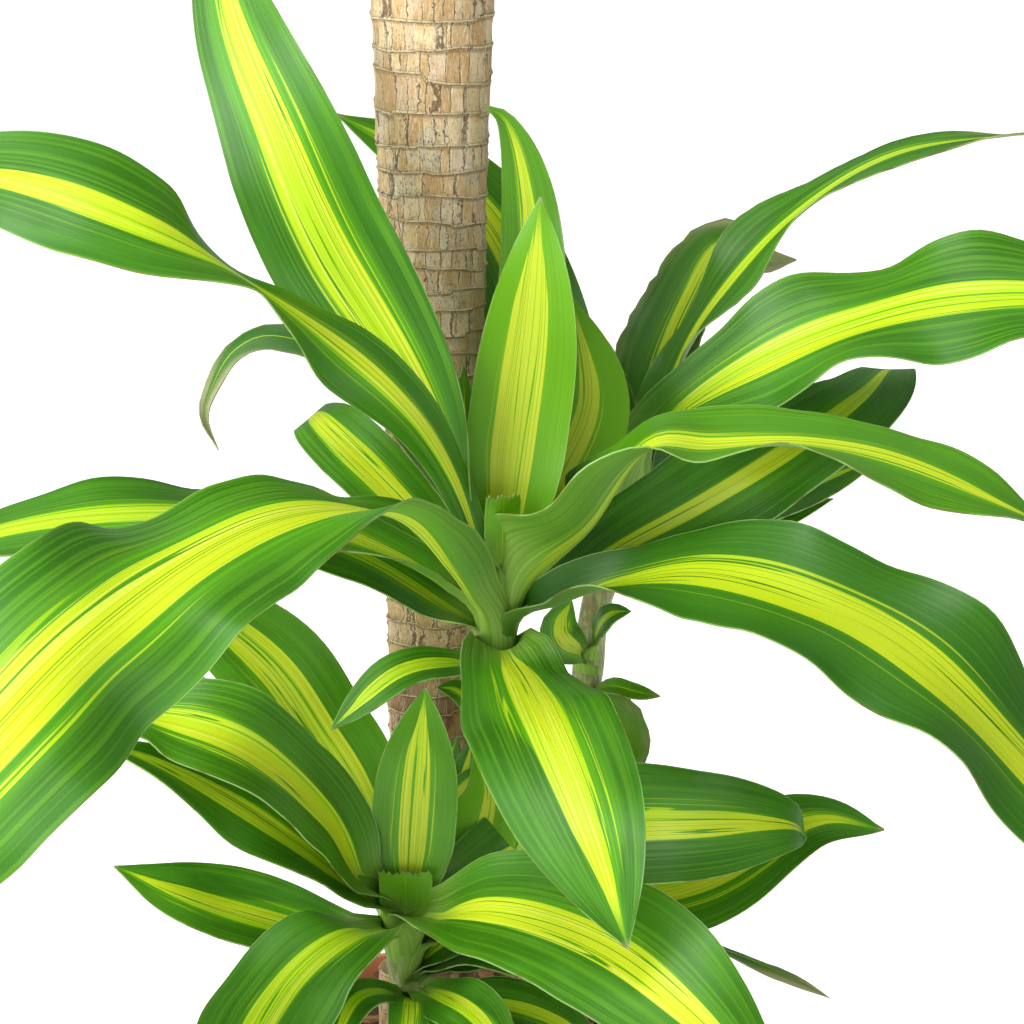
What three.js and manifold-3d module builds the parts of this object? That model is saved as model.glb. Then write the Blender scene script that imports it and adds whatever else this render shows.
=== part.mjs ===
// A potted corn plant, Dracaena fragrans: three sawn canes in one pot, with six striped leafy shoots.
// Millimetres, +Z up. The origin is the middle of the pot's underside, and -Y is the plant's front.
import * as THREE from "three";
import { mergeVertices } from "three/addons/utils/BufferGeometryUtils.js";
import Module from "manifold-3d";

const wasm = await Module();
wasm.setup();

// Driving dimensions
const CLEARANCE = 0.3;

const POT_HEIGHT = 220;
const POT_RIM_RADIUS = 120;
const POT_FOOT_RADIUS = 90;
const POT_WALL = 2.6;
const POT_RIM_BAND = 22;
const POT_RIM_STEP = 3;
const POT_LIP = 1.2;
const POT_FOOT_BEVEL = 3;
const POT_SIDES = 40;
const DRAIN_HOLES = 6;
const DRAIN_HOLE_RADIUS = 6;
const DRAIN_RING_RADIUS = 58;
const DRAIN_HOLE_SIDES = 10;

const SOIL_TOP = 210;
const SOIL_LUMP = 2.5;
const SOIL_EDGE_DROP = 3;
const SOIL_RINGS = [0.9, 0.78, 0.66, 0.54, 0.4, 0.25];

const CANE_BARE_TO = 222;
const CANE_SIDES = 12;
const SCAR_SPACING = 22;
const SCAR_WIDTH = 4;
const SCAR_HEIGHT = 1.1;
const SCAR_SLANT = 3;

const STEM_SIDES = 8;
const BLADE_EDGE = 0.9;
const BLADE_RIB = 1.7;
const BLADE_ROW = 50;
const WAVE_LENGTH = 105;
const WAVE_HEIGHT = 0.062;
const CHANNEL_AT_ROOT = 62;
const CHANNEL_MIDWAY = 8;
const CHANNEL_AT_TIP = 0;
const ROOT_SUNK = 4.5;

// The blades of a top shoot, from the oldest and lowest to the youngest: angles in degrees
const TOP_BLADES = {
  count: 13,
  row: 60,
  spread: 205,
  climb: 78,
  wide: [62, 40],
  steep: [36, 80],
  droop: [92, 42],
};
const GOLDEN_SHARE = 0.381966;

// Canes: foot and head heights, and the way the wood leans and swells as [height, x, y, radius]
const CANES = {
  tall: {
    foot: 80,
    head: 985,
    along: [
      [80, -19, 32, 22.5],
      [330, -19, 32, 22.5],
      [480, -19, 31, 24],
      [600, -18, 30, 26],
      [700, -18.5, 30, 29],
      [760, -19, 30, 32],
      [985, -20, 30, 32.5],
    ],
  },
  middle: {
    foot: 95,
    head: 372,
    along: [
      [95, 40, 12, 23],
      [240, 40, 12, 22.5],
      [372, 42, 12, 23.5],
    ],
  },
  short: {
    foot: 110,
    head: 262,
    along: [
      [110, -26, -44, 20],
      [230, -26, -44, 20],
      [262, -26, -44, 20.5],
    ],
  },
};

const radians = THREE.MathUtils.degToRad;

// A rounded step from 0 to 1 over the given stretch
const rise = (value, from, to) => THREE.MathUtils.smoothstep(value, from, to);

// A repeatable draw between -1 and 1 for a whole number
function draw(number) {
  const spread = Math.sin(number * 12.9898 + 4.1) * 43758.5453;
  return 2 * (spread - Math.floor(spread)) - 1;
}

// A closed three.js geometry as a solid that can be joined and cut
function solidOf(geometry) {
  const bare = geometry.clone();
  bare.deleteAttribute("normal");
  bare.deleteAttribute("uv");
  const merged = mergeVertices(bare, 0.001);
  const corners = merged.index.array;
  const triVerts = [];
  for (let i = 0; i < corners.length; i += 3) {
    const [a, b, c] = corners.slice(i, i + 3);
    if (a !== b && b !== c && c !== a) triVerts.push(a, b, c);
  }
  const mesh = new wasm.Mesh({
    numProp: 3,
    vertProperties: Float32Array.from(merged.attributes.position.array),
    triVerts: Uint32Array.from(triVerts),
  });
  return new wasm.Manifold(mesh);
}

function geometryOf(solid) {
  const { vertProperties, triVerts, numProp } = solid.getMesh();
  const places = [];
  for (let i = 0; i < vertProperties.length; i += numProp) places.push(...vertProperties.slice(i, i + 3));
  const geometry = new THREE.BufferGeometry();
  geometry.setAttribute("position", new THREE.Float32BufferAttribute(places, 3));
  geometry.setIndex([...triVerts]);
  geometry.computeVertexNormals();
  return geometry;
}

// A lathe turned about Z, from [radius, height] points
function turned(profile, sides) {
  const points = profile.map(([radius, height]) => new THREE.Vector2(radius, height));
  return new THREE.LatheGeometry(points, sides).rotateX(Math.PI / 2);
}

function upright(radius, from, to, sides) {
  return turned([[0, from], [radius, from], [radius, to], [0, to]], sides);
}

// Moves every corner of a geometry by a rule
function reshape(geometry, rule) {
  const places = geometry.attributes.position;
  const corner = new THREE.Vector3();
  for (let i = 0; i < places.count; i += 1) {
    corner.fromBufferAttribute(places, i);
    rule(corner);
    places.setXYZ(i, corner.x, corner.y, corner.z);
  }
  return geometry;
}

// Pot: a tapered wall with a stepped band below the rim, and drain holes in the floor
function potRadius(height) {
  return THREE.MathUtils.mapLinear(height, 0, POT_HEIGHT, POT_FOOT_RADIUS, POT_RIM_RADIUS - POT_RIM_STEP);
}

function makePot() {
  const bandFoot = POT_HEIGHT - POT_RIM_BAND;
  const inside = potRadius(POT_HEIGHT) - POT_WALL;
  const profile = [
    [0, 0],
    [POT_FOOT_RADIUS - POT_FOOT_BEVEL, 0],
    [potRadius(POT_FOOT_BEVEL), POT_FOOT_BEVEL],
    [potRadius(bandFoot), bandFoot],
    [POT_RIM_RADIUS, bandFoot + POT_RIM_STEP],
    [POT_RIM_RADIUS, POT_HEIGHT - POT_LIP],
    [POT_RIM_RADIUS - POT_LIP, POT_HEIGHT],
    [inside + POT_LIP, POT_HEIGHT],
    [inside, POT_HEIGHT - POT_LIP],
    [potRadius(POT_WALL) - POT_WALL, POT_WALL],
    [0, POT_WALL],
  ];
  let pot = solidOf(turned(profile, POT_SIDES));
  for (let i = 0; i < DRAIN_HOLES; i += 1) {
    const turn = (2 * Math.PI * i) / DRAIN_HOLES;
    const hole = upright(DRAIN_HOLE_RADIUS, -1, POT_WALL + 1, DRAIN_HOLE_SIDES);
    hole.translate(DRAIN_RING_RADIUS * Math.cos(turn), DRAIN_RING_RADIUS * Math.sin(turn), 0);
    pot = pot.subtract(solidOf(hole));
  }
  return pot;
}

// Soil: fills the pot, with a lumpy top and a plain hole for each cane
function soilLump(x, y) {
  const broad = Math.sin(x / 11 + 1.7 * Math.sin(y / 17)) * Math.cos(y / 9 - x / 31);
  const small = Math.sin(x / 4.3 + y / 6.1) * Math.sin(y / 5.2 - x / 7.7);
  return SOIL_LUMP * (broad + 0.7 * small);
}

function makeSoil() {
  const foot = POT_WALL + CLEARANCE;
  const edgeHeight = SOIL_TOP - SOIL_EDGE_DROP;
  const reach = (height) => potRadius(height) - POT_WALL - CLEARANCE;
  const edge = reach(edgeHeight);
  const profile = [[0, foot], [reach(foot), foot], [edge, edgeHeight]];
  for (const share of SOIL_RINGS) profile.push([edge * share, SOIL_TOP]);
  profile.push([0, SOIL_TOP]);
  const filled = reshape(turned(profile, POT_SIDES), (corner) => {
    if (corner.z > edgeHeight + 1) corner.z += soilLump(corner.x, corner.y);
  });
  let soil = solidOf(filled);
  for (const cane of Object.values(CANES)) {
    const [, x, y, radius] = cane.along[0];
    const hole = upright(radius + CLEARANCE, cane.foot - CLEARANCE, POT_HEIGHT + 40, CANE_SIDES);
    soil = soil.subtract(solidOf(hole.translate(x, y, 0)));
  }
  return soil;
}

// Canes: bare wood below the soil's top, and slanting leaf scars in relief above it
function caneAt(cane, height) {
  const stops = cane.along;
  let i = 1;
  while (i < stops.length - 1 && stops[i][0] < height) i += 1;
  const [low, high] = [stops[i - 1], stops[i]];
  const share = THREE.MathUtils.clamp((height - low[0]) / (high[0] - low[0]), 0, 1);
  return [1, 2, 3].map((k) => THREE.MathUtils.lerp(low[k], high[k], share));
}

function makeCane(cane, grown = 0) {
  const heights = [[cane.foot, 0], [CANE_BARE_TO, 0]];
  const lastScar = cane.head - 2 * SCAR_WIDTH;
  for (let height = CANE_BARE_TO + 2 * SCAR_WIDTH; height < lastScar; height += SCAR_SPACING) {
    heights.push([height, SCAR_HEIGHT], [height + SCAR_WIDTH, -0.3 * SCAR_HEIGHT]);
  }
  heights.push([cane.head - 2, 0], [cane.head, -2]);
  const profile = [[0, cane.foot - grown]];
  for (const [height, proud] of heights) {
    profile.push([caneAt(cane, height)[2] + proud + grown, height]);
  }
  profile[1][1] -= grown;
  profile[profile.length - 1][1] += grown;
  profile.push([0, cane.head + grown]);
  return solidOf(reshape(turned(profile, CANE_SIDES), (corner) => {
    const [x, y] = caneAt(cane, corner.z);
    const turn = Math.atan2(corner.y, corner.x);
    const scarred = corner.z > CANE_BARE_TO + SCAR_WIDTH && corner.z < cane.head - 6;
    if (scarred) {
      const ring = Math.round((corner.z - CANE_BARE_TO) / SCAR_SPACING);
      const uneven = 1 + 0.018 * Math.sin(2 * turn + ring) + 0.014 * Math.sin(3 * turn - 0.6 * ring);
      corner.z += SCAR_SLANT * draw(ring) * Math.sin(turn + 2.4 * ring);
      corner.x *= uneven;
      corner.y *= uneven;
    }
    corner.x += x;
    corner.y += y;
  }));
}

// Leaves: the way that the rib takes from the stem, and the way that the upper face looks along it.
// A blade starts at a share of its width. It may be full only from a later share of its length, folded by
// some degrees more than the others, waved more, or cut off at its end
function leaf(wide, way, face, base = 0.38, words = {}) {
  const usual = { full: 0.42, fold: 0, bend: [0.3, 0.4, 0.9], wave: 1, phase: 0, cut: false };
  return { wide, way, face, base, ...usual, ...words };
}

// A leaf that rises from the stem and arches over in one direction
function arching(axis, toward, long, wide, steep, droop, swing = 0) {
  const steps = 4;
  const first = radians(toward);
  const way = [[axis[0] + ROOT_SUNK * Math.cos(first), axis[1] + ROOT_SUNK * Math.sin(first), axis[2]]];
  const face = [];
  for (let i = 0; i <= steps; i += 1) {
    const share = i / steps;
    const tilt = radians(steep - droop * share ** 1.3);
    const turn = radians(toward + swing * share);
    const out = [Math.cos(turn), Math.sin(turn)];
    face.push([-out[0] * Math.sin(tilt), -out[1] * Math.sin(tilt), Math.cos(tilt)]);
    if (i === steps) break;
    const [x, y, z] = way[i];
    const run = (long / steps) * Math.cos(tilt);
    way.push([x + out[0] * run, y + out[1] * run, z + (long / steps) * Math.sin(tilt)]);
  }
  return leaf(wide, way, face, 0.32);
}

const curveOf = (points) => new THREE.CatmullRomCurve3(
  points.map((point) => new THREE.Vector3(...point)), false, "catmullrom", 0.5,
);

// Half width, channel angle and wave of a blade, from its root at 0 to its tip at 1
function bladeOutline({ base, full, cut }, share) {
  const grow = base + (1 - base) * rise(share, 0, full);
  const taper = share < 0.5 ? 1 : 1 - ((share - 0.5) / 0.5) ** 2.3;
  return cut ? grow : Math.max(grow * taper, 0.02);
}

function bladeChannel({ fold, bend }, share) {
  const [openedAt, easedFrom, easedBy] = bend;
  const opened = (CHANNEL_AT_ROOT - CHANNEL_MIDWAY - fold) * rise(share, 0, openedAt);
  const eased = (CHANNEL_MIDWAY + fold - CHANNEL_AT_TIP) * rise(share, easedFrom, easedBy);
  return radians(CHANNEL_AT_ROOT - opened - eased);
}

function bladeWave({ wide, wave, phase }, long, share, side) {
  const swell = Math.sin(Math.PI * share) ** 0.6;
  const turns = (2 * Math.PI * share * long) / WAVE_LENGTH + phase;
  return wave * WAVE_HEIGHT * wide * swell * Math.sin(turns + 0.13 * long + 2.2 * side);
}

// The largest piece of a solid, without loose scraps
function mainBody(solid) {
  return solid.decompose().reduce((a, b) => (b.volume() > a.volume() ? b : a));
}

// A blade as one closed strip: left edge, midrib and right edge, each with a top and an underside
function bladeSolid(blade, rowLength) {
  const { wide, way, face } = blade;
  const rib = curveOf(way);
  const look = face.length > 1 ? curveOf(face) : null;
  const long = rib.getLength();
  const rows = Math.max(4, Math.round(long / rowLength));
  const places = [];
  for (let row = 0; row <= rows; row += 1) {
    const share = row / rows;
    const along = rib.getTangentAt(share);
    const up = look ? look.getPoint(rib.getUtoTmapping(share)) : new THREE.Vector3(...face[0]);
    up.addScaledVector(along, -up.dot(along)).normalize();
    const across = along.clone().cross(up);
    const half = (wide / 2) * bladeOutline(blade, share);
    const channel = bladeChannel(blade, share);
    for (const side of [-1, 0, 1]) {
      const edge = Math.abs(side);
      const lift = edge * (half * Math.sin(channel) + bladeWave(blade, long, share, side));
      const middle = rib.getPointAt(share)
        .addScaledVector(across, side * half * Math.cos(channel))
        .addScaledVector(up, lift);
      const thick = (edge ? BLADE_EDGE : BLADE_RIB) / 2 / Math.cos(channel);
      for (const skin of [1, -1]) {
        places.push(...middle.clone().addScaledVector(up, skin * thick).toArray());
      }
    }
  }
  const geometry = new THREE.BufferGeometry();
  geometry.setAttribute("position", new THREE.Float32BufferAttribute(places, 3));
  geometry.setIndex(bladeFaces(rows));
  return solidOf(geometry);
}

// Both faces split their squares along the same diagonal
function bladeFaces(rows) {
  const faces = [];
  const corner = (row, rib, under) => 6 * row + 2 * rib + under;
  for (let row = 0; row < rows; row += 1) {
    const next = row + 1;
    for (const rib of [0, 1]) {
      for (const under of [0, 1]) {
        const near = [corner(row, rib, under), corner(row, rib + 1, under)];
        const far = [corner(next, rib, under), corner(next, rib + 1, under)];
        const pair = [[near[0], near[1], far[1]], [near[0], far[1], far[0]]];
        for (const face of pair) faces.push(...(under ? face.reverse() : face));
      }
    }
    for (const rib of [0, 2]) {
      const [top, low] = [corner(row, rib, 0), corner(row, rib, 1)];
      const [farTop, farLow] = [corner(next, rib, 0), corner(next, rib, 1)];
      const pair = [[top, farTop, farLow], [top, farLow, low]];
      for (const face of pair) faces.push(...(rib ? face.reverse() : face));
    }
  }
  for (const row of [0, rows]) {
    const [a, b, c, d, e, f] = [0, 1, 2, 3, 4, 5].map((k) => 6 * row + k);
    const cap = [[a, b, d], [a, d, c], [c, d, f], [c, f, e]];
    for (const face of cap) faces.push(...(row ? face.reverse() : face));
  }
  return faces;
}

function stemSolid({ radius, way }) {
  const ring = new THREE.Shape();
  for (let i = 0; i < STEM_SIDES; i += 1) {
    const turn = (2 * Math.PI * i) / STEM_SIDES;
    const [x, y] = [radius * Math.cos(turn), radius * Math.sin(turn)];
    if (i) ring.lineTo(x, y);
    else ring.moveTo(x, y);
  }
  ring.closePath();
  const tube = new THREE.ExtrudeGeometry(ring, {
    steps: 2 * way.length,
    curveSegments: 1,
    bevelEnabled: false,
    extrudePath: curveOf(way),
  });
  return solidOf(tube);
}

// A leafy shoot: its stems and blades joined, and cut clear of the cane that it grows on
function makeShoot(stem, leaves, cane, rowLength = BLADE_ROW) {
  let shoot = stemSolid(stem);
  for (const blade of leaves) shoot = shoot.add(bladeSolid(blade, rowLength));
  return mainBody(shoot.subtract(makeCane(cane, CLEARANCE)));
}

// Front shoot, on the middle cane
const FRONT_STEM = {
  radius: 8,
  way: [[32, -2, 352], [16, -22, 360], [8, -38, 378], [12, -46, 415], [15, -46, 462]],
};
const FRONT_LEAVES = [
  leaf(64, [[13, -44, 444], [-21, -60, 536], [-66, -50, 628], [-94, -35, 686], [-115, -15, 737],
    [-129, 10, 800]], [[-0.25, -1, 0.3]], 0.38, { fold: -24 }),
  leaf(70, [[14, -50, 445], [-18, -75, 510], [-45, -95, 569], [-92, -115, 614], [-148, -119, 646],
    [-219, -108, 668], [-290, -98, 661]], [[0.5, -0.7, 0.3], [0.32, -0.9, 0.1], [0.22, -0.85, 0.2],
    [0, -0.02, 1], [0, -0.55, 0.84], [0, -0.9, 0.35], [0, -1, 0.3]], 0.38,
    { full: 0.66, fold: -30, bend: [0.2, 0.32, 0.5], wave: 0.7 }),
  leaf(17, [[15, -42, 449], [-15, -25, 508], [-60, -10, 560], [-95, 0, 574], [-117, 5, 566],
    [-130, 10, 544], [-133, 12, 530], [-126, 12, 514]], [[0.1, -0.7, 0.6]], 0.38, { wave: 2.2 }),
  leaf(38, [[14, -40, 445], [-10, -32, 470], [-37, -22, 498], [-70, 4, 526], [-80, 30, 528],
    [-83, 50, 512]], [[0.5, -0.8, 0.5], [0.2, -0.85, 0.5], [-0.2, -0.65, 0.75], [-0.66, -0.1, 0.75]]),
  leaf(105, [[13, -50, 430], [-9, -85, 474], [-36, -128, 512], [-98, -205, 519], [-165, -260, 482],
    [-240, -295, 420], [-310, -305, 341], [-365, -300, 250]], [[0.3, 0.5, 0.8], [0.1, 0.2, 1], [0, 0, 1],
    [0, -0.75, 0.65], [-0.2, -0.85, 0.5], [-0.35, -0.85, 0.45], [-0.35, -0.85, 0.4], [-0.35, -0.85, 0.4]],
    0.3, { full: 0.55, fold: -20, bend: [0.39, 0.4, 0.9], wave: 0.75 }),
  leaf(60, [[13, -45, 432], [-24, -55, 467], [-82, -70, 494], [-152, -90, 502], [-223, -105, 497],
    [-300, -112, 470]], [[0, -0.3, 0.95]]),
  leaf(40, [[13, -45, 428], [-19, -40, 450], [-54, -45, 472], [-88, -50, 483], [-117, -55, 477]],
    [[0, -0.5, 0.8]]),
  leaf(62, [[15, -50, 433], [27, -65, 467], [50, -70, 504], [78, -72, 522], [121, -75, 532],
    [169, -80, 534], [216, -88, 525], [290, -95, 492]], [[-0.55, 0.35, 0.6], [-0.45, 0.2, 0.8],
    [-0.1, -0.05, 1], [0, -0.16, 1], [0, -0.16, 1], [0.1, -0.35, 0.9], [0.3, -0.4, 0.8]], 0.8,
    { wave: 1.7 }),
  leaf(62, [[16, -45, 434], [40, -37, 451], [72, -26, 470], [116, -8, 490], [164, 12, 515], [198, 36, 536],
    [214, 66, 545], [222, 98, 535]], [[-0.3, -0.85, 0.5], [-0.3, -0.85, 0.5], [-0.25, -0.7, 0.65],
    [-0.1, -0.1, 1]], 0.3, { fold: 14 }),
  leaf(78, [[17, -49, 433], [40, -62, 450], [70, -78, 465], [111, -105, 477], [156, -135, 473],
    [202, -155, 455], [248, -170, 415], [291, -185, 366], [331, -190, 297]], [[-0.1, -0.3, 0.9],
    [0, -0.6, 0.8], [0.4, -0.5, 0.75]], 0.26, { wave: 1.5, phase: 1.2 }),
  leaf(50, [[17, -42, 445], [21, -48, 511], [30, -40, 584], [35, -25, 647]], [[0, -1, 0.2]]),
  leaf(44, [[18, -40, 444], [42, -22, 501], [60, -8, 543], [51, 10, 592]], [[0.2, -0.9, 0.4]]),
  leaf(18, [[14, -42, 450], [5, -38, 499], [-1, -34, 533], [-3, -30, 565]], [[0.3, -1, 0]]),
  leaf(38, [[18, -40, 447], [28, -12, 519], [32, 4, 592], [28, 8, 648], [19, 5, 679], [7, 0, 689]],
    [[-0.3, -0.9, 0.2]]),
  leaf(56, [[17, -40, 446], [31, 6, 514], [34, 50, 562], [15, 76, 612], [-20, 87, 648], [-69, 88, 674]],
    [[0.2, -0.9, 0.3]]),
  leaf(72, [[15, -52, 430], [26, -100, 430], [37, -160, 416], [56, -205, 376], [74, -225, 329]],
    [[0, -0.3, 1], [-0.05, -0.9, 0.5]], 0.38, { fold: -14 }),
  leaf(24, [[10, -44, 412], [-9, -60, 422], [-36, -75, 420], [-67, -85, 395]], [[0, -0.6, 0.8]]),
  leaf(14, [[8, -40, 386], [0, -46, 399], [-7, -50, 406], [-16, -53, 408]], [[0, -0.7, 0.7]]),
  leaf(22, [[14, -52, 462], [13, -61, 481], [13, -64, 498]], [[0.4, -1, 0.3]], 0.8, { cut: true }),
];

// Right shoot, behind the front one, on the middle cane
const RIGHT_STEM = {
  radius: 8,
  way: [[48, 14, 355], [58, 26, 385], [64, 34, 430], [78, 38, 470], [84, 40, 500]],
};
const RIGHT_LEAVES = [
  leaf(38, [[84, 39, 483], [99, 42, 534], [119, 48, 577], [161, 56, 624], [214, 60, 657], [284, 60, 668]],
    [[-0.5, -0.5, 0.7], [-0.3, -0.3, 0.9], [-0.1, -0.15, 1]], 0.38, { fold: 10, wave: 2.4 }),
  leaf(72, [[81, 36, 485], [94, 22, 520], [134, 8, 554], [190, -4, 581], [244, -12, 595], [312, -16, 594],
    [385, -20, 571]], [[-0.2, -0.6, 0.75]], 0.38, { wave: 1.7 }),
  leaf(46, [[86, 44, 482], [92, 60, 539], [110, 75, 583], [128, 85, 608], [152, 95, 598], [168, 100, 597]],
    [[-0.3, -0.6, 0.6]], 0.38, { wave: 1.5 }),
  leaf(18, [[80, 40, 472], [77, 45, 518], [71, 50, 560]], [[0, -1, 0.1]]),
  leaf(34, [[78, 40, 462], [124, 60, 467], [170, 75, 481], [212, 85, 496]], [[0, -0.5, 0.85]]),
  leaf(22, [[75, 39, 455], [124, 58, 460], [165, 70, 470], [187, 75, 476]], [[0, -0.5, 0.85]]),
  leaf(22, [[61, 28, 403], [47, 12, 416], [45, 5, 427], [51, 0, 440]], [[0.2, -1, 0.2]]),
  leaf(16, [[62, 29, 408], [66, 14, 424], [72, 8, 431], [81, 4, 433]], [[0, -0.7, 0.7]]),
  leaf(34, [[58, 25, 389], [66, 14, 380], [73, 10, 366], [78, 6, 352], [80, 4, 340]], [[0.3, -0.9, 0.3]],
    0.7, { wave: 2 }),
  leaf(10, [[62, 20, 388], [72, 13, 394], [84, 9, 393], [94, 7, 390]], [[0, -0.9, 0.5]], 0.38, { wave: 2 }),
  arching([79, 40, 470], 62, 200, 44, 22, 62),
  arching([80, 41, 476], 92, 270, 50, 24, 74),
  arching([79, 40, 466], 122, 260, 48, 20, 66),
  arching([78, 40, 460], 140, 170, 44, 22, 70),
  arching([82, 40, 490], 105, 170, 34, 40, 60),
];

// Low shoot, on the short cane
const LOW_STEM = { radius: 8, way: [[-26, -46, 246], [-30, -62, 252], [-33, -70, 275], [-33, -72, 315]] };
const LOW_LEAVES = [
  leaf(42, [[-31, -72, 290], [-28, -80, 333], [-25, -85, 375], [-21, -80, 415]], [[0, -1, 0.15]]),
  leaf(56, [[-34, -68, 298], [-53, -58, 350], [-74, -50, 383], [-96, -45, 415], [-125, -42, 440],
    [-160, -45, 462]], [[0.3, -0.9, 0.3]]),
  leaf(52, [[-36, -74, 295], [-44, -85, 324], [-69, -105, 358], [-108, -130, 397], [-145, -145, 415],
    [-190, -150, 418]], [[0.1, -0.65, 0.75]]),
  leaf(40, [[-35, -71, 289], [-58, -90, 318], [-105, -115, 362], [-146, -130, 390], [-174, -135, 402]],
    [[0.1, -0.6, 0.8]], 0.38, { wave: 1.8 }),
  leaf(41, [[-34, -74, 285], [-65, -105, 305], [-109, -130, 321], [-139, -145, 333], [-168, -152, 344]],
    [[0, -0.65, 0.75]]),
  leaf(76, [[-33, -75, 283], [-52, -112, 300], [-73, -150, 293], [-94, -185, 272], [-114, -205, 238]],
    [[0.2, -0.5, 0.85], [0.3, -0.75, 0.55]]),
  leaf(74, [[-30, -75, 290], [10, -130, 318], [62, -185, 319], [107, -225, 295], [152, -245, 249]],
    [[-0.1, -0.65, 0.75]]),
  leaf(64, [[-29, -69, 292], [5, -72, 318], [54, -78, 341], [113, -84, 347], [155, -82, 346],
    [166, -64, 334]], [[0, -0.8, 0.6], [0, -0.85, 0.5], [0.5, -0.7, 0.5]]),
  leaf(20, [[-29, -69, 292], [-17, -60, 321], [-8, -57, 351], [9, -54, 371]], [[-0.3, -0.9, 0.2]]),
  leaf(40, [[-28, -70, 290], [-6, -64, 314], [6, -64, 336], [10, -62, 358], [2, -58, 376]],
    [[-0.3, -0.9, 0.2]]),
  leaf(60, [[-29, -66, 284], [45, -54, 297], [114, -50, 311], [169, -46, 338], [206, -45, 333]],
    [[0, -0.7, 0.7]]),
  leaf(24, [[-29, -66, 280], [35, -50, 280], [77, -45, 285], [106, -42, 286]], [[0, -0.5, 0.8]]),
  leaf(16, [[-30, -66, 275], [45, -50, 280], [115, -45, 273], [150, -48, 262], [180, -50, 247]],
    [[0, -0.3, 0.9]], 0.38, { wave: 3 }),
  leaf(24, [[-31, -68, 294], [-15, -58, 326], [-4, -54, 356], [2, -50, 383]], [[-0.2, -0.9, 0.3]]),
  leaf(26, [[-32, -76, 292], [-31, -82, 308], [-31, -86, 323]], [[0, -1, 0.2]], 0.8, { cut: true }),
  leaf(26, [[-31, -67, 264], [-12, -73, 284], [6, -72, 292], [25, -68, 288], [40, -66, 278]],
    [[0, -0.6, 0.8]]),
  leaf(26, [[-31, -65, 263], [-6, -75, 279], [14, -80, 280], [38, -78, 268]], [[0, -0.5, 0.85]]),
  leaf(30, [[-30, -64, 262], [8, -63, 277], [38, -58, 272], [66, -54, 259]], [[0, -0.4, 0.9]]),
  arching([-33, -70, 284], 137, 230, 44, 44, 42),
  arching([-33, -71, 290], 165, 190, 38, 50, 40),
  arching([-32, -69, 290], 62, 100, 22, 70, 36),
];

// Foot shoot, low on the short cane
const FOOT_STEM = { radius: 6, way: [[-24, -48, 228], [-22, -66, 230], [-24, -80, 240], [-28, -85, 264]] };
const FOOT_LEAVES = [
  leaf(22, [[-28, -83, 255], [-43, -107, 269], [-56, -128, 270], [-67, -145, 247]], [[0, -0.5, 0.85]]),
  leaf(24, [[-29, -84, 260], [-27, -115, 264], [-28, -135, 254], [-31, -150, 237]], [[0, -0.5, 0.85]]),
  leaf(32, [[-28, -84, 262], [-12, -112, 268], [6, -138, 264], [22, -160, 244]], [[0, -0.6, 0.8]]),
  leaf(32, [[-28, -80, 250], [10, -92, 258], [42, -102, 252], [71, -110, 234]], [[0, -0.5, 0.85]]),
  arching([-27, -83, 252], 176, 84, 20, 24, 50),
];

// Top shoots, at the head of the tall cane: blades fan out on the side that the shoot faces
function fan(root, facing, longest, seed) {
  const { count, spread, climb, wide, steep, droop } = TOP_BLADES;
  const leaves = [];
  for (let i = 0; i < count; i += 1) {
    const young = i / (count - 1);
    const between = ([oldest, youngest]) => THREE.MathUtils.lerp(oldest, youngest, young);
    const axis = [root[0], root[1], root[2] + climb * young];
    const turn = facing + spread * (((i * GOLDEN_SHARE) % 1) - 0.5);
    const long = longest * (1 - 0.5 * young ** 1.6) * (1 + 0.08 * draw(seed + i));
    const tilt = between(steep) + 6 * draw(seed + 40 + i);
    const sag = between(droop) + 10 * draw(seed + 80 + i);
    const swing = 12 * draw(seed + 120 + i);
    leaves.push(arching(axis, turn, long, between(wide), tilt, sag, swing));
  }
  return leaves;
}

const TOP_LEFT_STEM = { radius: 9, way: [[-28, 20, 915], [-56, 8, 926], [-70, 1, 950], [-74, -1, 1032]] };
const TOP_LEFT_LEAVES = fan([-72, 0, 948], 205, 420, 1);
const TOP_RIGHT_STEM = { radius: 9, way: [[-8, 38, 930], [22, 52, 942], [35, 59, 968], [39, 61, 1050]] };
const TOP_RIGHT_LEAVES = fan([37, 60, 966], 28, 400, 31);

const MATERIALS = {
  pot: { color: 0xb46a48, roughness: 0.55, metalness: 0 },
  soil: { color: 0x4d3b28, roughness: 0.95, metalness: 0 },
  cane: { color: 0xc2a270, roughness: 0.85, metalness: 0 },
  leaf: { color: 0x5a9a2e, roughness: 0.4, metalness: 0 },
};

const plant = new THREE.Group();

function place(name, material, solid) {
  const mesh = new THREE.Mesh(geometryOf(solid), new THREE.MeshStandardMaterial(MATERIALS[material]));
  mesh.name = name;
  plant.add(mesh);
}

place("pot", "pot", makePot());
place("soil", "soil", makeSoil());
place("cane_tall", "cane", makeCane(CANES.tall));
place("cane_middle", "cane", makeCane(CANES.middle));
place("cane_short", "cane", makeCane(CANES.short));
place("shoot_front", "leaf", makeShoot(FRONT_STEM, FRONT_LEAVES, CANES.middle));
place("shoot_right", "leaf", makeShoot(RIGHT_STEM, RIGHT_LEAVES, CANES.middle));
place("shoot_low", "leaf", makeShoot(LOW_STEM, LOW_LEAVES, CANES.short));
place("shoot_foot", "leaf", makeShoot(FOOT_STEM, FOOT_LEAVES, CANES.short));
place("shoot_top_left", "leaf", makeShoot(TOP_LEFT_STEM, TOP_LEFT_LEAVES, CANES.tall, TOP_BLADES.row));
place("shoot_top_right", "leaf", makeShoot(TOP_RIGHT_STEM, TOP_RIGHT_LEAVES, CANES.tall, TOP_BLADES.row));

export default plant;
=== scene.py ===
import math
import random

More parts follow.
